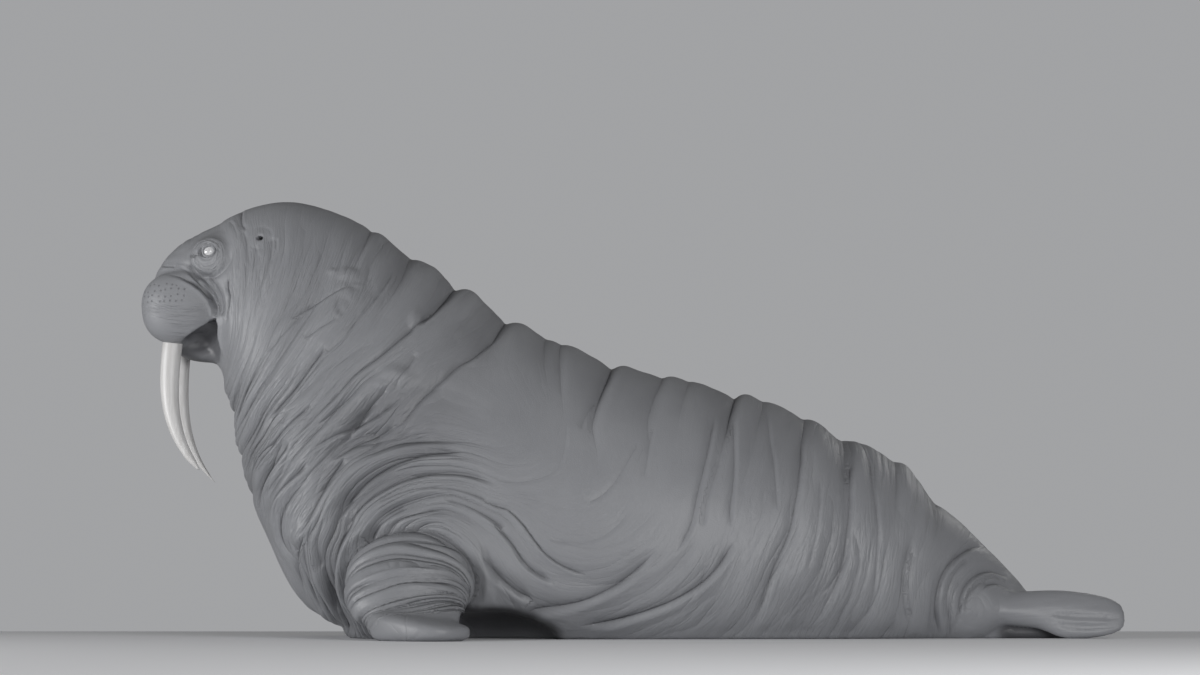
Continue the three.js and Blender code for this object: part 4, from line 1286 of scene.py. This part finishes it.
def longest_edge(at):
    """The length above which an edge of the skin is halved, by where on the body its middle is."""
    m = mirrored(at)
    size = np.where(m[:, 2] > OFF_FLOOR, EDGE_BODY, EDGE_FLOOR)
    for x, z, edge in EDGES_AHEAD:
        size = np.where((m[:, 0] < x) & (m[:, 2] > z), edge, size)
    for line, _, width in FACE_LINES:
        away = line_distance(m * (1, 0, 1), in_plane(line))[0]
        size = np.where(away < 3 * width, EDGE_LINES, size)
    for place, reach, fine in FINE_PLACES:
        size = np.where(np.linalg.norm(m - place, axis=1) < reach, fine, size)
    return size


def refined(body):
    """The mesh of the joined forms, finer where the skin is fine, with all its points on their surface."""
    points, triangles = body.first_mesh()
    points = body.settle(points)
    for _ in range(SPLITS):
        points, triangles = split_long(points, triangles, longest_edge)
        points = body.settle(points, 1)
    for _ in range(SMOOTHINGS):
        points = body.settle(relax(points, triangles, EVENING), 1)
    points[:, 2] = np.maximum(points[:, 2], 0)
    return points, triangles


def stretch_of(points, flow):
    """Slope of the flow across the folds: how many of its metres there are to one metre of the side view."""
    slope = []
    for way in ((1, 0, 0), (0, 0, 1)):
        beside = flow_of(points + FLOW_STEP * np.array(way))
        slope.append((beside[:, 0] - flow[:, 0]) / FLOW_STEP)
    return np.maximum(np.hypot(*slope), LEAST_STRETCH)


def with_pad_flow(flow, at, on_pad):
    """The flow with that of the muzzle pads, which goes round a place over each."""
    x, z, across, along = PAD_FLOW
    off = at[:, [0, 2]] - (PAD["x"] + x, PAD["z"] + z)
    own = np.stack([across * np.hypot(*off.T), along * np.arctan2(off[:, 0], -off[:, 1])], 1)
    return mix(flow, own, on_pad[:, None])


def with_eye_flow(flow, at):
    """The flow with that round the eyes, the distance from the middle of each, and where it counts."""
    off = at[:, [0, 2]] - (EYE[0] + EYE_SWELL_SHIFT[0], EYE[2] + EYE_SWELL_SHIFT[1])
    radius = np.hypot(*off.T)
    across, along = EYE_SCALES
    own = np.stack([across * radius, along * np.arctan2(off[:, 1], off[:, 0])], 1)
    near = (radius < EYE_FLOW) * (at[:, 1] < EYE_FLOW_SIDE)
    return mix(flow, own, near[:, None]), radius, near


def head_wrinkles(wrinkling, at, from_eye):
    """How strong the fine wrinkles are, with those of cheek and neck, each exp(-d^3) round its middle."""
    cheek = np.exp(-(oval(at, *CHEEK) ** 1.5))
    wrinkling = np.maximum(wrinkling, CHEEK_WRINKLES * cheek * rise(from_eye, *CHEEK_FROM_EYE))
    return np.maximum(wrinkling, NECK_WRINKLES * np.exp(-(oval(at, *NECK) ** 1.5)))


def limb_wrinkles(wrinkling, at, on_limb):
    """How strong the fine wrinkles are, with those of the limbs and weaker ones where two flows meet."""
    limb = np.where(at[:, 0] < MIDDLE, ARM_WRINKLES, FOOT_WRINKLES)
    return mix(wrinkling, limb, on_limb) * (1 - 3 * on_limb * (1 - on_limb))


def pad_wrinkles(wrinkling, at, from_pad, on_pad):
    """How strong the fine wrinkles are, with those of the muzzle pads, which are bare at their edge."""
    pad = mix(PAD_WRINKLES, PAD_WRINKLES_LOW, fall(at[:, 2], *PAD_LOW))
    return mix(wrinkling, pad, on_pad) * rise(np.abs(from_pad - PAD_EDGE), *PAD_SEAM)


def eye_wrinkles(wrinkling, radius, near):
    """How strong the fine wrinkles are, with those round the eyes, which are bare where the flows meet."""
    eye = EYE_WRINKLES * rise(radius, *EYE_BARE)
    return mix(wrinkling, eye, near) * rise(np.abs(radius - EYE_FLOW), *EYE_SEAM)


def skin_mesh(sizes, opening):
    """Points and triangles of the skin, and what its material needs to know at each point."""
    body, limbs = body_fields()
    points, triangles = refined(body)
    normals = normals_of(points, triangles)
    at = mirrored(points)
    flow = flow_of(points)
    stretch = stretch_of(points, flow)
    edge = limbs.probe(points)[0]
    on_limb = fall(edge, *SLEEVE)

    lines = Lines(len(points))
    relief, noise, amount = body_relief(points, flow, stretch, sizes, lines)
    face, from_pad, from_eye = face_relief(points, sizes, lines)
    quiet = rise(from_pad, *CALM_PAD) * rise(from_eye, *CALM_EYE)
    places = limb_places(points)
    limb, limb_noise, limb_amount = limb_relief(points, places, sizes)
    lines.depth *= 1 - on_limb
    relief = mix(relief * quiet, limb, on_limb) + face + sizes.ring_depth * armpit_crease(points, edge, lines)
    noise = mix(noise, limb_noise, on_limb[:, None])
    amount = mix(amount * quiet, limb_amount, on_limb)

    fore, hind, _, on_foot = places
    limb_flow = np.where(points[:, :1] < MIDDLE, fore, mix(hind[:, :2], hind[:, 2:], on_foot[:, None]))
    on_pad = from_pad < PAD_EDGE
    flow = with_pad_flow(mix(flow, limb_flow, on_limb[:, None]), at, on_pad)
    flow, eye_radius, near_eye = with_eye_flow(flow, at)
    wrinkling = np.clip(strength_of(points), 0, 1) * quiet / np.clip(stretch, *STRETCH)
    wrinkling = limb_wrinkles(head_wrinkles(wrinkling, at, from_eye), at, on_limb)
    wrinkling = pad_wrinkles(wrinkling, at, from_pad, on_pad)
    wrinkling = eye_wrinkles(wrinkling, eye_radius, near_eye)

    moved = points + normals * (relief * rise(points[:, 2], *OFF_GROUND))[:, None]
    moved = lids_and_openings(moved, opening)
    moved[:, 2] = np.maximum(moved[:, 2], 0)
    moved[points[:, 2] < ON_GROUND, 2] = 0
    attributes = {
        "flow": np.column_stack([flow, points[:, 1] * FLOW_THIRD]),
        "fold_height": relief,
        "fold_noise": np.column_stack([noise, amount]),
        "fold_line": np.column_stack([lines.away, lines.depth, np.zeros(len(points))]),
        "wrinkling": wrinkling,
        "pores": on_pad * fall(oval(at, *PORES), *PORES_END),
        # shade painted behind the tusks, in the hollow under the flank and under the heel
        "shade": painted_shade_of(points),
    }
    return moved, triangles, attributes


# Materials

# Wrinkles: how many lie in a metre of the flow across and along, their depth in metres, and their noise
COARSE_WRINKLES, COARSE_DEPTH = {"Across": 28.0, "Along": 4.0}, 0.005
FINE_WRINKLES, FINE_DEPTH = {"Across": 64.0, "Along": 9.0}, 0.0024
WRINKLES_SIDEWAYS = 3.0
WRINKLE_NOISE = {"Scale": 1.0, "Detail": 2.0, "Roughness": 0.55, "Distortion": 0.3}
WRINKLE_SWELL = (2.6, 0.6)  # factor and power that make rounded swellings of it

# Grain: cells in a metre, how steep their edges are, their share of the height, its depth, and the noises
GRAIN_CELLS, GRAIN_EDGE, GRAIN_SHARE, GRAIN_DEPTH = 170.0, 5.0, 0.5, 0.0003
GRAIN_SOFT = {"Scale": 60.0, "Detail": 4.0}
TONE_NOISE = {"Scale": 3.2, "Detail": 5.0, "Roughness": 0.6}
TONE_ENDS = (0.3, 0.7)  # noise where the skin is darkest and palest
ROUGHNESS_CHANGE = 0.05

# Painted shade and dents: height of the mesh where the shade painted into a hollow is darkest, the sharp
# lines in the folds, and the pores
HOLLOW_AT = -0.016
LINE_WIDTH, LINE_DEPTH, LINE_DARK, LINE_DARKEST = 0.0035, 0.45, 30.0, 0.35
PORE_CELLS = {"Scale": 50.0, "Randomness": 0.5}
PORE_EDGE = (0.19, 0.12)  # distances from the middle of a pore where it begins and where it is deepest
PORE_DARK, PORE_DEPTH = 0.5, 0.0016

# Ivory: streaks, and the heights between which it grows darker towards the gum
STREAK_SIZES = (130.0, 130.0, 5.0)
STREAK_NOISE = {"Scale": 1.0, "Detail": 3.0}
STREAK_ENDS = (0.35, 0.7)
STREAK_BUMP = {"Strength": 0.25, "Distance": 0.0008}
GUM_HEIGHTS, GUM_SHARE = (0.93, 1.0), 0.35

# Angles from the axis of the eye over which iris and pupil begin
IRIS_ANGLES, PUPIL_ANGLES = (0.50, 0.42), (0.16, 0.12)


def add_node(tree, kind, inputs=None, **settings):
    """A node with its settings, and its inputs given as values or linked from sockets."""
    node = tree.nodes.new(kind)
    for key, value in settings.items():
        setattr(node, key, value)
    for key, value in (inputs or {}).items():
        socket = node.inputs[key]
        if isinstance(value, bpy.types.NodeSocket):
            tree.links.new(value, socket)
        else:
            socket.default_value = value
    return node


def maths(tree, operation, *values):
    """One step of arithmetic on values or sockets."""
    return add_node(tree, "ShaderNodeMath", dict(enumerate(values)), operation=operation).outputs[0]


def times(tree, first, second):
    """One value or socket times another."""
    return maths(tree, "MULTIPLY", first, second)


def parts_of(tree, vector):
    """The three parts of a vector."""
    return add_node(tree, "ShaderNodeSeparateXYZ", {0: vector}).outputs


def attribute(tree, name, output="Fac"):
    """What the mesh keeps at each point under a name."""
    return add_node(tree, "ShaderNodeAttribute", attribute_name=name).outputs[output]


def spread(tree, value, *ends):
    """A value from between the first two ends, put between the last two, which are 0 and 1 if not given."""
    return add_node(tree, "ShaderNodeMapRange", {0: value, **dict(enumerate(ends, 1))}).outputs[0]


def texture(tree, kind, place, inputs, **settings):
    """A texture node of a kind at a place."""
    return add_node(tree, "ShaderNodeTex" + kind, {"Vector": place, **inputs}, **settings)


def scaled(tree, vector, factors):
    """A vector with each of its parts times a factor."""
    return add_node(tree, "ShaderNodeVectorMath", {0: vector, 1: factors}, operation="MULTIPLY").outputs[0]


def new_group(name, inputs, outputs):
    """An empty shader node group with named sockets, and its input and output nodes."""
    group = bpy.data.node_groups.new(name, "ShaderNodeTree")
    for label, kind, value in inputs:
        socket = group.interface.new_socket(label, in_out="INPUT", socket_type=kind)
        if value is not None:
            socket.default_value = value
    for label, kind in outputs:
        group.interface.new_socket(label, in_out="OUTPUT", socket_type=kind)
    return group, group.nodes.new("NodeGroupInput"), group.nodes.new("NodeGroupOutput")


def wrinkle_group():
    """Wrinkles along the flow: |noise - 1/2| of the flow, squeezed across folds and stretched along them."""
    group, given, result = new_group(
        "hide_wrinkles",
        [
            ("Flow", "NodeSocketVector", None),
            ("Across", "NodeSocketFloat", FINE_WRINKLES["Across"]),
            ("Along", "NodeSocketFloat", FINE_WRINKLES["Along"]),
        ],
        [("Height", "NodeSocketFloat")],
    )
    sizes = {0: given.outputs["Across"], 1: given.outputs["Along"], 2: WRINKLES_SIDEWAYS}
    stretch = add_node(group, "ShaderNodeCombineXYZ", sizes)
    vector = scaled(group, given.outputs["Flow"], stretch.outputs[0])
    noise = texture(group, "Noise", vector, WRINKLE_NOISE)
    away = maths(group, "ABSOLUTE", maths(group, "SUBTRACT", noise.outputs[0], 0.5))
    factor, exponent = WRINKLE_SWELL
    swell = maths(group, "POWER", times(group, away, factor), exponent)
    group.links.new(swell, result.inputs["Height"])
    return group


def grain_group():
    """Fine cracked grain of bare hide: edges of small cells, and soft unevenness over them."""
    group, given, result = new_group(
        "hide_grain",
        [("Place", "NodeSocketVector", None), ("Cells", "NodeSocketFloat", GRAIN_CELLS)],
        [("Height", "NodeSocketFloat"), ("Tone", "NodeSocketFloat")],
    )
    place = given.outputs["Place"]
    cells = texture(group, "Voronoi", place, {"Scale": given.outputs["Cells"]}, feature="DISTANCE_TO_EDGE")
    edge = maths(group, "MINIMUM", times(group, cells.outputs["Distance"], GRAIN_EDGE), 1.0)
    soft = texture(group, "Noise", place, GRAIN_SOFT)
    height = maths(group, "ADD", times(group, edge, GRAIN_SHARE), soft.outputs[0])
    tone = texture(group, "Noise", place, TONE_NOISE)
    group.links.new(height, result.inputs["Height"])
    group.links.new(tone.outputs[0], result.inputs["Tone"])
    return group


def blank_material(name):
    """A new material, its tree and its shader, with nothing else in it."""
    material = bpy.data.materials.new(name)
    material.use_nodes = True
    tree = material.node_tree
    tree.nodes.clear()
    shader = tree.nodes.new("ShaderNodeBsdfPrincipled")
    output = tree.nodes.new("ShaderNodeOutputMaterial")
    tree.links.new(shader.outputs[0], output.inputs["Surface"])
    return material, tree, shader


def blend_colour(tree, share, first, second):
    """The first colour where a share is 0 and the second where it is 1."""
    node = add_node(tree, "ShaderNodeMix", {0: share, 6: first, 7: second}, data_type="RGBA")
    return node.outputs[2]


def opaque(colour):
    """A colour with an alpha of 1."""
    return (*colour[:3], 1.0)


def fold_bottoms(tree):
    """What the valleys of the mesh lack, for each noise n, times its depth.

    That is (n^2 + SHARP^2) to the power PILLOW, less (n^2 + SOFT^2) to the same power.
    """
    parts = parts_of(tree, attribute(tree, "fold_noise", "Vector"))
    total = 0.0
    for part, share in zip(parts, FOLD_SHARES):
        square = times(tree, part, part)
        sharp = maths(tree, "POWER", maths(tree, "ADD", square, SHARP**2), PILLOW)
        soft = maths(tree, "POWER", maths(tree, "ADD", square, SOFT**2), PILLOW)
        total = maths(tree, "ADD", total, times(tree, maths(tree, "SUBTRACT", sharp, soft), share))
    return times(tree, total, parts[2])


def fold_lines(tree):
    """Depth times exp(-distance / 3.5 mm) at the bottoms of the long folds."""
    parts = parts_of(tree, attribute(tree, "fold_line", "Vector"))
    near = maths(tree, "EXPONENT", times(tree, maths(tree, "ABSOLUTE", parts[0]), -1 / LINE_WIDTH))
    return times(tree, near, parts[1])


def pore_share(tree, place):
    """1 in the middle of each pore of the muzzle pads, by the distance to the nearest of scattered points."""
    parts = parts_of(tree, place)
    flat = add_node(tree, "ShaderNodeCombineXYZ", {0: parts[0], 1: parts[2]}).outputs[0]
    cells = texture(tree, "Voronoi", flat, PORE_CELLS, voronoi_dimensions="2D")
    return times(tree, spread(tree, cells.outputs["Distance"], *PORE_EDGE), attribute(tree, "pores"))


def hide_colour(tree, finish, tone, pore, line):
    """Mottled grey, with shade painted into the hollows, the pores and the bottoms of folds, and painted
    shade behind the tusks, under the flank and under the heel.
    """
    base = blend_colour(tree, tone, opaque(finish.skin_dark), opaque(finish.skin_pale))
    # painted shade in the hollows of the mesh, in the pores and along the bottoms of the folds
    hollow = spread(tree, attribute(tree, "fold_height"), 0.0, HOLLOW_AT, 0.0, finish.fold_shade)
    dark = maths(tree, "MINIMUM", times(tree, line, LINE_DARK), LINE_DARKEST)
    for share in (hollow, times(tree, pore, PORE_DARK), dark):
        base = blend_colour(tree, share, base, opaque(finish.fold_shade_colour))
    # painted shade behind the tusks, under the flank and under the heel
    return blend_colour(tree, attribute(tree, "shade"), base, opaque(finish.shade_colour))


def hide_height(tree, grain, pore, line):
    """Height of wrinkles, grain, fold bottoms and pores over the mesh, in metres."""
    flow = attribute(tree, "flow", "Vector")
    group = bpy.data.node_groups["hide_wrinkles"]
    wave = []
    for sizes, depth in ((COARSE_WRINKLES, COARSE_DEPTH), (FINE_WRINKLES, FINE_DEPTH)):
        wrinkles = add_node(tree, "ShaderNodeGroup", node_tree=group)
        tree.links.new(flow, wrinkles.inputs["Flow"])
        for key, value in sizes.items():
            wrinkles.inputs[key].default_value = value
        wave.append(times(tree, wrinkles.outputs[0], depth))
    height = times(tree, maths(tree, "ADD", *wave), attribute(tree, "wrinkling"))
    height = maths(tree, "ADD", height, times(tree, grain, GRAIN_DEPTH))
    height = maths(tree, "ADD", height, fold_bottoms(tree))
    height = maths(tree, "SUBTRACT", height, times(tree, pore, PORE_DEPTH))
    return maths(tree, "SUBTRACT", height, times(tree, line, LINE_DEPTH))


def hide_material(finish):
    """Bare folded skin: painted shade darkens the folds, so the ridges stand a little paler, with a fine
    relief of its own.
    """
    material, tree, shader = blank_material("walrus_hide")
    place = add_node(tree, "ShaderNodeTexCoord").outputs["Object"]
    skin = add_node(tree, "ShaderNodeGroup", node_tree=bpy.data.node_groups["hide_grain"])
    tree.links.new(place, skin.inputs["Place"])
    tone = spread(tree, skin.outputs["Tone"], *TONE_ENDS)
    pore = pore_share(tree, place)
    line = fold_lines(tree)
    tree.links.new(hide_colour(tree, finish, tone, pore, line), shader.inputs["Base Color"])
    ends = (finish.roughness - ROUGHNESS_CHANGE, finish.roughness + ROUGHNESS_CHANGE)
    tree.links.new(spread(tree, tone, 0.0, 1.0, *ends), shader.inputs["Roughness"])
    height = hide_height(tree, skin.outputs["Height"], pore, line)
    bump = add_node(tree, "ShaderNodeBump", {"Strength": finish.bump, "Distance": 1.0, "Height": height})
    tree.links.new(bump.outputs[0], shader.inputs["Normal"])
    shader.inputs["Specular IOR Level"].default_value = 0.4
    return material


def ivory_material(finish):
    """Ivory: faint lengthwise streaks and hairline cracks, a little darker at the gum."""
    material, tree, shader = blank_material("walrus_ivory")
    place = add_node(tree, "ShaderNodeTexCoord").outputs["Object"]
    streak = texture(tree, "Noise", scaled(tree, place, STREAK_SIZES), STREAK_NOISE).outputs[0]
    share = spread(tree, streak, *STREAK_ENDS)
    colour = blend_colour(tree, share, opaque(finish.ivory), opaque(finish.ivory_streak))
    gum = spread(tree, parts_of(tree, place)[2], *GUM_HEIGHTS, 0.0, GUM_SHARE)
    colour = blend_colour(tree, gum, colour, opaque(finish.ivory_gum))
    tree.links.new(colour, shader.inputs["Base Color"])
    shader.inputs["Roughness"].default_value = 0.38
    bump = add_node(tree, "ShaderNodeBump", {**STREAK_BUMP, "Height": streak})
    tree.links.new(bump.outputs[0], shader.inputs["Normal"])
    return material


def eye_material(finish):
    """A wet pale eye: a soft iris ring and a small pupil, by the angle from the eye's own axis."""
    material, tree, shader = blank_material("walrus_eye")
    angle = attribute(tree, "gaze")
    iris, pupil = spread(tree, angle, *IRIS_ANGLES), spread(tree, angle, *PUPIL_ANGLES)
    colour = blend_colour(tree, iris, opaque(finish.eye_white), opaque(finish.iris))
    colour = blend_colour(tree, pupil, colour, opaque(finish.pupil))
    tree.links.new(colour, shader.inputs["Base Color"])
    shader.inputs["Roughness"].default_value = 0.16
    shader.inputs["Coat Weight"].default_value = 0.6
    shader.inputs["Coat Roughness"].default_value = 0.05
    return material


def stage_material(name, colour, roughness):
    """A plain surface of one colour."""
    material, tree, shader = blank_material(name)
    shader.inputs["Base Color"].default_value = opaque(colour)
    shader.inputs["Roughness"].default_value = roughness
    shader.inputs["Specular IOR Level"].default_value = 0.15
    return material


# Sizes and colours a user may change

MOST_POWER = 5000.0


def share_property(name, description, default, top):
    """A number from 0 to a top."""
    return FloatProperty(name=name, description=description, default=default, min=0.0, max=top)


def length_property(name, description, default, least, most):
    """A length in metres."""
    ends = {"min": least, "max": most}
    return FloatProperty(name=name, description=description, default=default, unit="LENGTH", **ends)


def power_property(name, description, default):
    """The power of a light."""
    ends = {"min": 0.0, "max": MOST_POWER}
    return FloatProperty(name=name, description=description, default=default, unit="POWER", **ends)


def colour_property(name, description, default):
    """A colour."""
    kind = {"subtype": "COLOR", "size": 3, "min": 0.0, "max": 1.0}
    return FloatVectorProperty(name=name, description=description, default=default, **kind)


class WalrusHide(bpy.types.PropertyGroup):
    """Depths of folds and rings"""

    fold_depth: length_property("Folds", "Depth of the folds of neck and chest", 0.024, 0.0, 0.05)
    long_depth: share_property("Long folds", "Depth of the long folds of the body, as a share", 1.0, 2.0)
    crease_depth: share_property("Back creases", "Depth of the creases across the back, as a share", 1.0, 2.0)
    ring_depth: share_property("Limb rings", "Depth of the rings of skin on the limbs, as a share", 1.0, 2.0)
    face_depth: share_property("Face lines", "Depth of the lines of the face, as a share", 1.0, 2.0)


class WalrusFinish(bpy.types.PropertyGroup):
    """Colours and roughness"""

    skin_pale: colour_property("Pale skin", "Skin on the ridges", (0.27, 0.275, 0.29))
    skin_dark: colour_property("Dark skin", "Skin in its darker patches", (0.235, 0.24, 0.255))
    # the colour of the shade painted into the folds, their sharp lines and the pores
    fold_shade_colour: colour_property("Folds", "Shade painted into the folds, their sharp lines and the pores", (0.13, 0.132, 0.142))
    # the colour of the shade painted behind the tusks, under the flank and under the heel
    shade_colour: colour_property("Painted shade", "Shade painted behind the tusks, under the flank and under the heel", (0.030, 0.030, 0.034))
    fold_shade: share_property("Fold shade", "How much the folds take that colour", 0.45, 1.0)
    roughness: share_property("Roughness", "Roughness of the skin", 0.42, 1.0)
    bump: share_property("Bump", "Strength of the fine wrinkles", 1.0, 1.0)
    ivory: colour_property("Ivory", "Tusks", (0.66, 0.655, 0.65))
    ivory_streak: colour_property("Ivory streaks", "Streaks along the tusks", (0.56, 0.55, 0.54))
    ivory_gum: colour_property("Ivory at the gum", "Tusks where they leave the lip", (0.40, 0.385, 0.37))
    eye_white: colour_property("Eye", "The eyeball", (0.70, 0.70, 0.71))
    iris: colour_property("Iris", "The iris", (0.62, 0.62, 0.63))
    pupil: colour_property("Pupil", "The pupil", (0.45, 0.45, 0.46))


class WalrusFace(bpy.types.PropertyGroup):
    """Sizes of the eyes"""

    eye_radius: length_property("Eyeball", "Radius of the eyeball", EYEBALL, 0.015, 0.035)
    eye_long: length_property("Eye length", "Half length between the lids", 0.0165, 0.01, 0.025)
    eye_high: length_property("Eye height", "Half height between the lids", 0.0135, 0.005, 0.02)


class WalrusStudio(bpy.types.PropertyGroup):
    """Floor, backdrop and lights"""

    floor: colour_property("Floor", "The floor", (0.92, 0.925, 0.945))
    backdrop: colour_property("Backdrop", "What shows behind the animal", (0.360, 0.364, 0.373))
    key_power: power_property("Key light", "Power of the key light", 166.0)
    fill_power: power_property("Fill light", "Power of the fill light", 165.0)
    rim_power: power_property("Rim light", "Power of the light from behind", 10.0)
    surround: share_property("Surround", "Brightness of the light from all round", 0.16, 2.0)


GROUPS = {
    "walrus_hide": WalrusHide,
    "walrus_finish": WalrusFinish,
    "walrus_face": WalrusFace,
    "walrus_studio": WalrusStudio,
}


# Operators

CAMERA = dict(place=(-0.0765, -6.5, 0.10), tilt=97.8, sensor=36.0, lens=58.92, clip_end=60.0)

# Name, place, what it looks at and size of each light
LIGHTS = (
    ("key", (-5.5, -3.0, 1.0), (-0.5, 0, 0.6), 2.2),
    ("fill", (2.4, -6.0, 1.5), (0.4, 0, 0.3), 3.0),
    ("rim", (3.4, 3.4, 2.6), (0.0, 0, 0.8), 1.6),
)
FLOOR = ((-4.5, 4.5), (-4.2, 1.6))  # from left to right, and from front to back
FLOOR_HEIGHT = -0.0004  # just under the animal
GAZE = (-0.25, 0.96, 0.05)  # where the right eye looks
CORNEA, CORNEA_REACH = 0.03, 0.35  # its swelling as a share of the radius, and how far it reaches
FLESH = [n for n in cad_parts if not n.startswith(("tusk", "eye"))]


class WALRUS_OT_stage(bpy.types.Operator):
    """Makes the camera, the floor with its backdrop, and the lights"""

    bl_idname = "walrus.stage"
    bl_label = "Stage"

    def execute(self, context):
        scene = context.scene
        studio = scene.walrus_studio
        data = bpy.data.cameras.new("camera")
        data.sensor_width = CAMERA["sensor"]
        data.lens = CAMERA["lens"]
        data.clip_end = CAMERA["clip_end"]
        camera = bpy.data.objects.new("camera", data)
        camera.location = CAMERA["place"]
        camera.rotation_euler = (math.radians(CAMERA["tilt"]), 0, 0)
        scene.collection.objects.link(camera)
        scene.camera = camera
        self.floor(studio)
        for name, place, aim, size in LIGHTS:
            self.lamp(name, place, aim, size, getattr(studio, name + "_power"))
        scene.world = self.surround(studio)
        scene.view_settings.view_transform = "Standard"
        return {"FINISHED"}

    def surround(self, studio):
        """Even soft light from all round, in front of a plain backdrop of its own brightness."""
        world = bpy.data.worlds.new("surround")
        world.use_nodes = True
        tree = world.node_tree
        background = tree.nodes["Background"]
        seen = add_node(tree, "ShaderNodeLightPath").outputs["Is Camera Ray"]
        colour = blend_colour(tree, seen, opaque([studio.surround] * 3), opaque(studio.backdrop))
        tree.links.new(colour, background.inputs[0])
        return world

    def floor(self, studio):
        """A flat sheet under the animal that reaches the front of the picture."""
        (left, right), (front, back) = FLOOR
        corners = ((left, front), (right, front), (right, back), (left, back))
        mesh = bpy.data.meshes.new("studio_floor")
        mesh.from_pydata([(x, y, FLOOR_HEIGHT) for x, y in corners], [], [(0, 1, 2, 3)])
        mesh.materials.append(stage_material("studio_floor", studio.floor, 0.85))
        floor = bpy.data.objects.new("studio_floor", mesh)
        bpy.context.scene.collection.objects.link(floor)

    def lamp(self, name, place, aim, size, power):
        """A round area light at a place, turned towards another."""
        data = bpy.data.lights.new(name, "AREA")
        data.energy = power
        data.size = size
        data.shape = "DISK"
        lamp = bpy.data.objects.new(name, data)
        lamp.location = place
        away = np.array(place) - np.array(aim)
        tilt = math.acos(away[2] / np.linalg.norm(away))
        lamp.rotation_euler = (tilt, 0, math.atan2(away[1], away[0]) + math.pi / 2)
        bpy.context.scene.collection.objects.link(lamp)


class WALRUS_OT_skin(bpy.types.Operator):
    """Makes the skin of the whole animal as one surface"""

    bl_idname = "walrus.skin"
    bl_label = "Skin"

    def execute(self, context):
        scene = context.scene
        opening = (scene.walrus_face.eye_long, scene.walrus_face.eye_high)
        points, triangles, attributes = skin_mesh(scene.walrus_hide, opening)
        wrinkle_group()
        grain_group()
        material = hide_material(scene.walrus_finish)
        piece = make_piece("skin", points, triangles, material, FLESH)
        for name, values in attributes.items():
            keep_attribute(piece, name, values)
        thin_out(piece, TRIANGLES)
        if len(piece.data.polygons) > MOST_TRIANGLES:
            raise RuntimeError(f"the skin has {len(piece.data.polygons)} triangles")
        return {"FINISHED"}


class WALRUS_OT_tusks(bpy.types.Operator):
    """Makes the two tusks"""

    bl_idname = "walrus.tusks"
    bl_label = "Tusks"

    def execute(self, context):
        material = ivory_material(context.scene.walrus_finish)
        for name, side in (("left", -1), ("right", 1)):
            points, triangles = tusk(side, TUSKS[name])
            make_piece("ivory_" + name, points, triangles, material, ["tusk_" + name])
        return {"FINISHED"}


class WALRUS_OT_eyes(bpy.types.Operator):
    """Makes the two eyeballs"""

    bl_idname = "walrus.eyes"
    bl_label = "Eyes"

    def execute(self, context):
        radius = context.scene.walrus_face.eye_radius
        material = eye_material(context.scene.walrus_finish)
        for name, side in (("left", -1), ("right", 1)):
            points, triangles = self.ball(side, radius)
            piece = make_piece("eyeball_" + name, points, triangles, material, ["eye_" + name])
            away = points - np.array([EYE[0], side * EYE[1], EYE[2]])
            gaze = np.array(GAZE) * (1, side, 1)
            cosine = (away @ gaze) / np.linalg.norm(away, axis=1)
            keep_attribute(piece, "gaze", np.arccos(np.clip(cosine, -1, 1)))
        return {"FINISHED"}

    def ball(self, side, radius):
        """A sphere whose pole looks outwards, with a shallow swelling over the iris."""

        def shape(u, v):
            r = radius * (1 + CORNEA * fall(v * 2, CORNEA_REACH, CORNEA_REACH))
            a = np.pi * v
            ring = np.sin(a)
            x = EYE[0] + r * ring * np.cos(2 * np.pi * u)
            y = side * (EYE[1] + r * np.cos(a))
            return np.stack([x, y, EYE[2] + r * ring * np.sin(2 * np.pi * u)], -1)

        return closed_surface(shape, *GRID["ball"])


OPERATORS = (WALRUS_OT_stage, WALRUS_OT_skin, WALRUS_OT_tusks, WALRUS_OT_eyes)


class WALRUS_PT_sidebar(bpy.types.Panel):
    """Lists the pieces and their sizes"""

    bl_idname = "WALRUS_PT_sidebar"
    bl_label = "Walrus"
    bl_space_type = "VIEW_3D"
    bl_region_type = "UI"
    bl_category = "Walrus"

    def draw(self, context):
        for operator in OPERATORS:
            self.layout.operator(operator.bl_idname)
        for name, group in GROUPS.items():
            box = self.layout.box()
            box.label(text=group.__doc__)
            for key in group.__annotations__:
                box.prop(getattr(context.scene, name), key)


CLASSES = (*GROUPS.values(), *OPERATORS, WALRUS_PT_sidebar)


def register():
    """Makes the operators, the panel and the sizes known to Blender."""
    for cls in CLASSES:
        bpy.utils.register_class(cls)
    for name, group in GROUPS.items():
        setattr(bpy.types.Scene, name, PointerProperty(type=group))


def unregister():
    """Takes out what register put in."""
    for name in GROUPS:
        delattr(bpy.types.Scene, name)
    for cls in reversed(CLASSES):
        bpy.utils.unregister_class(cls)


def main():
    """Makes every piece."""
    register()
    for operator in OPERATORS:
        module, name = operator.bl_idname.split(".")
        getattr(getattr(bpy.ops, module), name)()


if __name__ == "__main__":
    main()
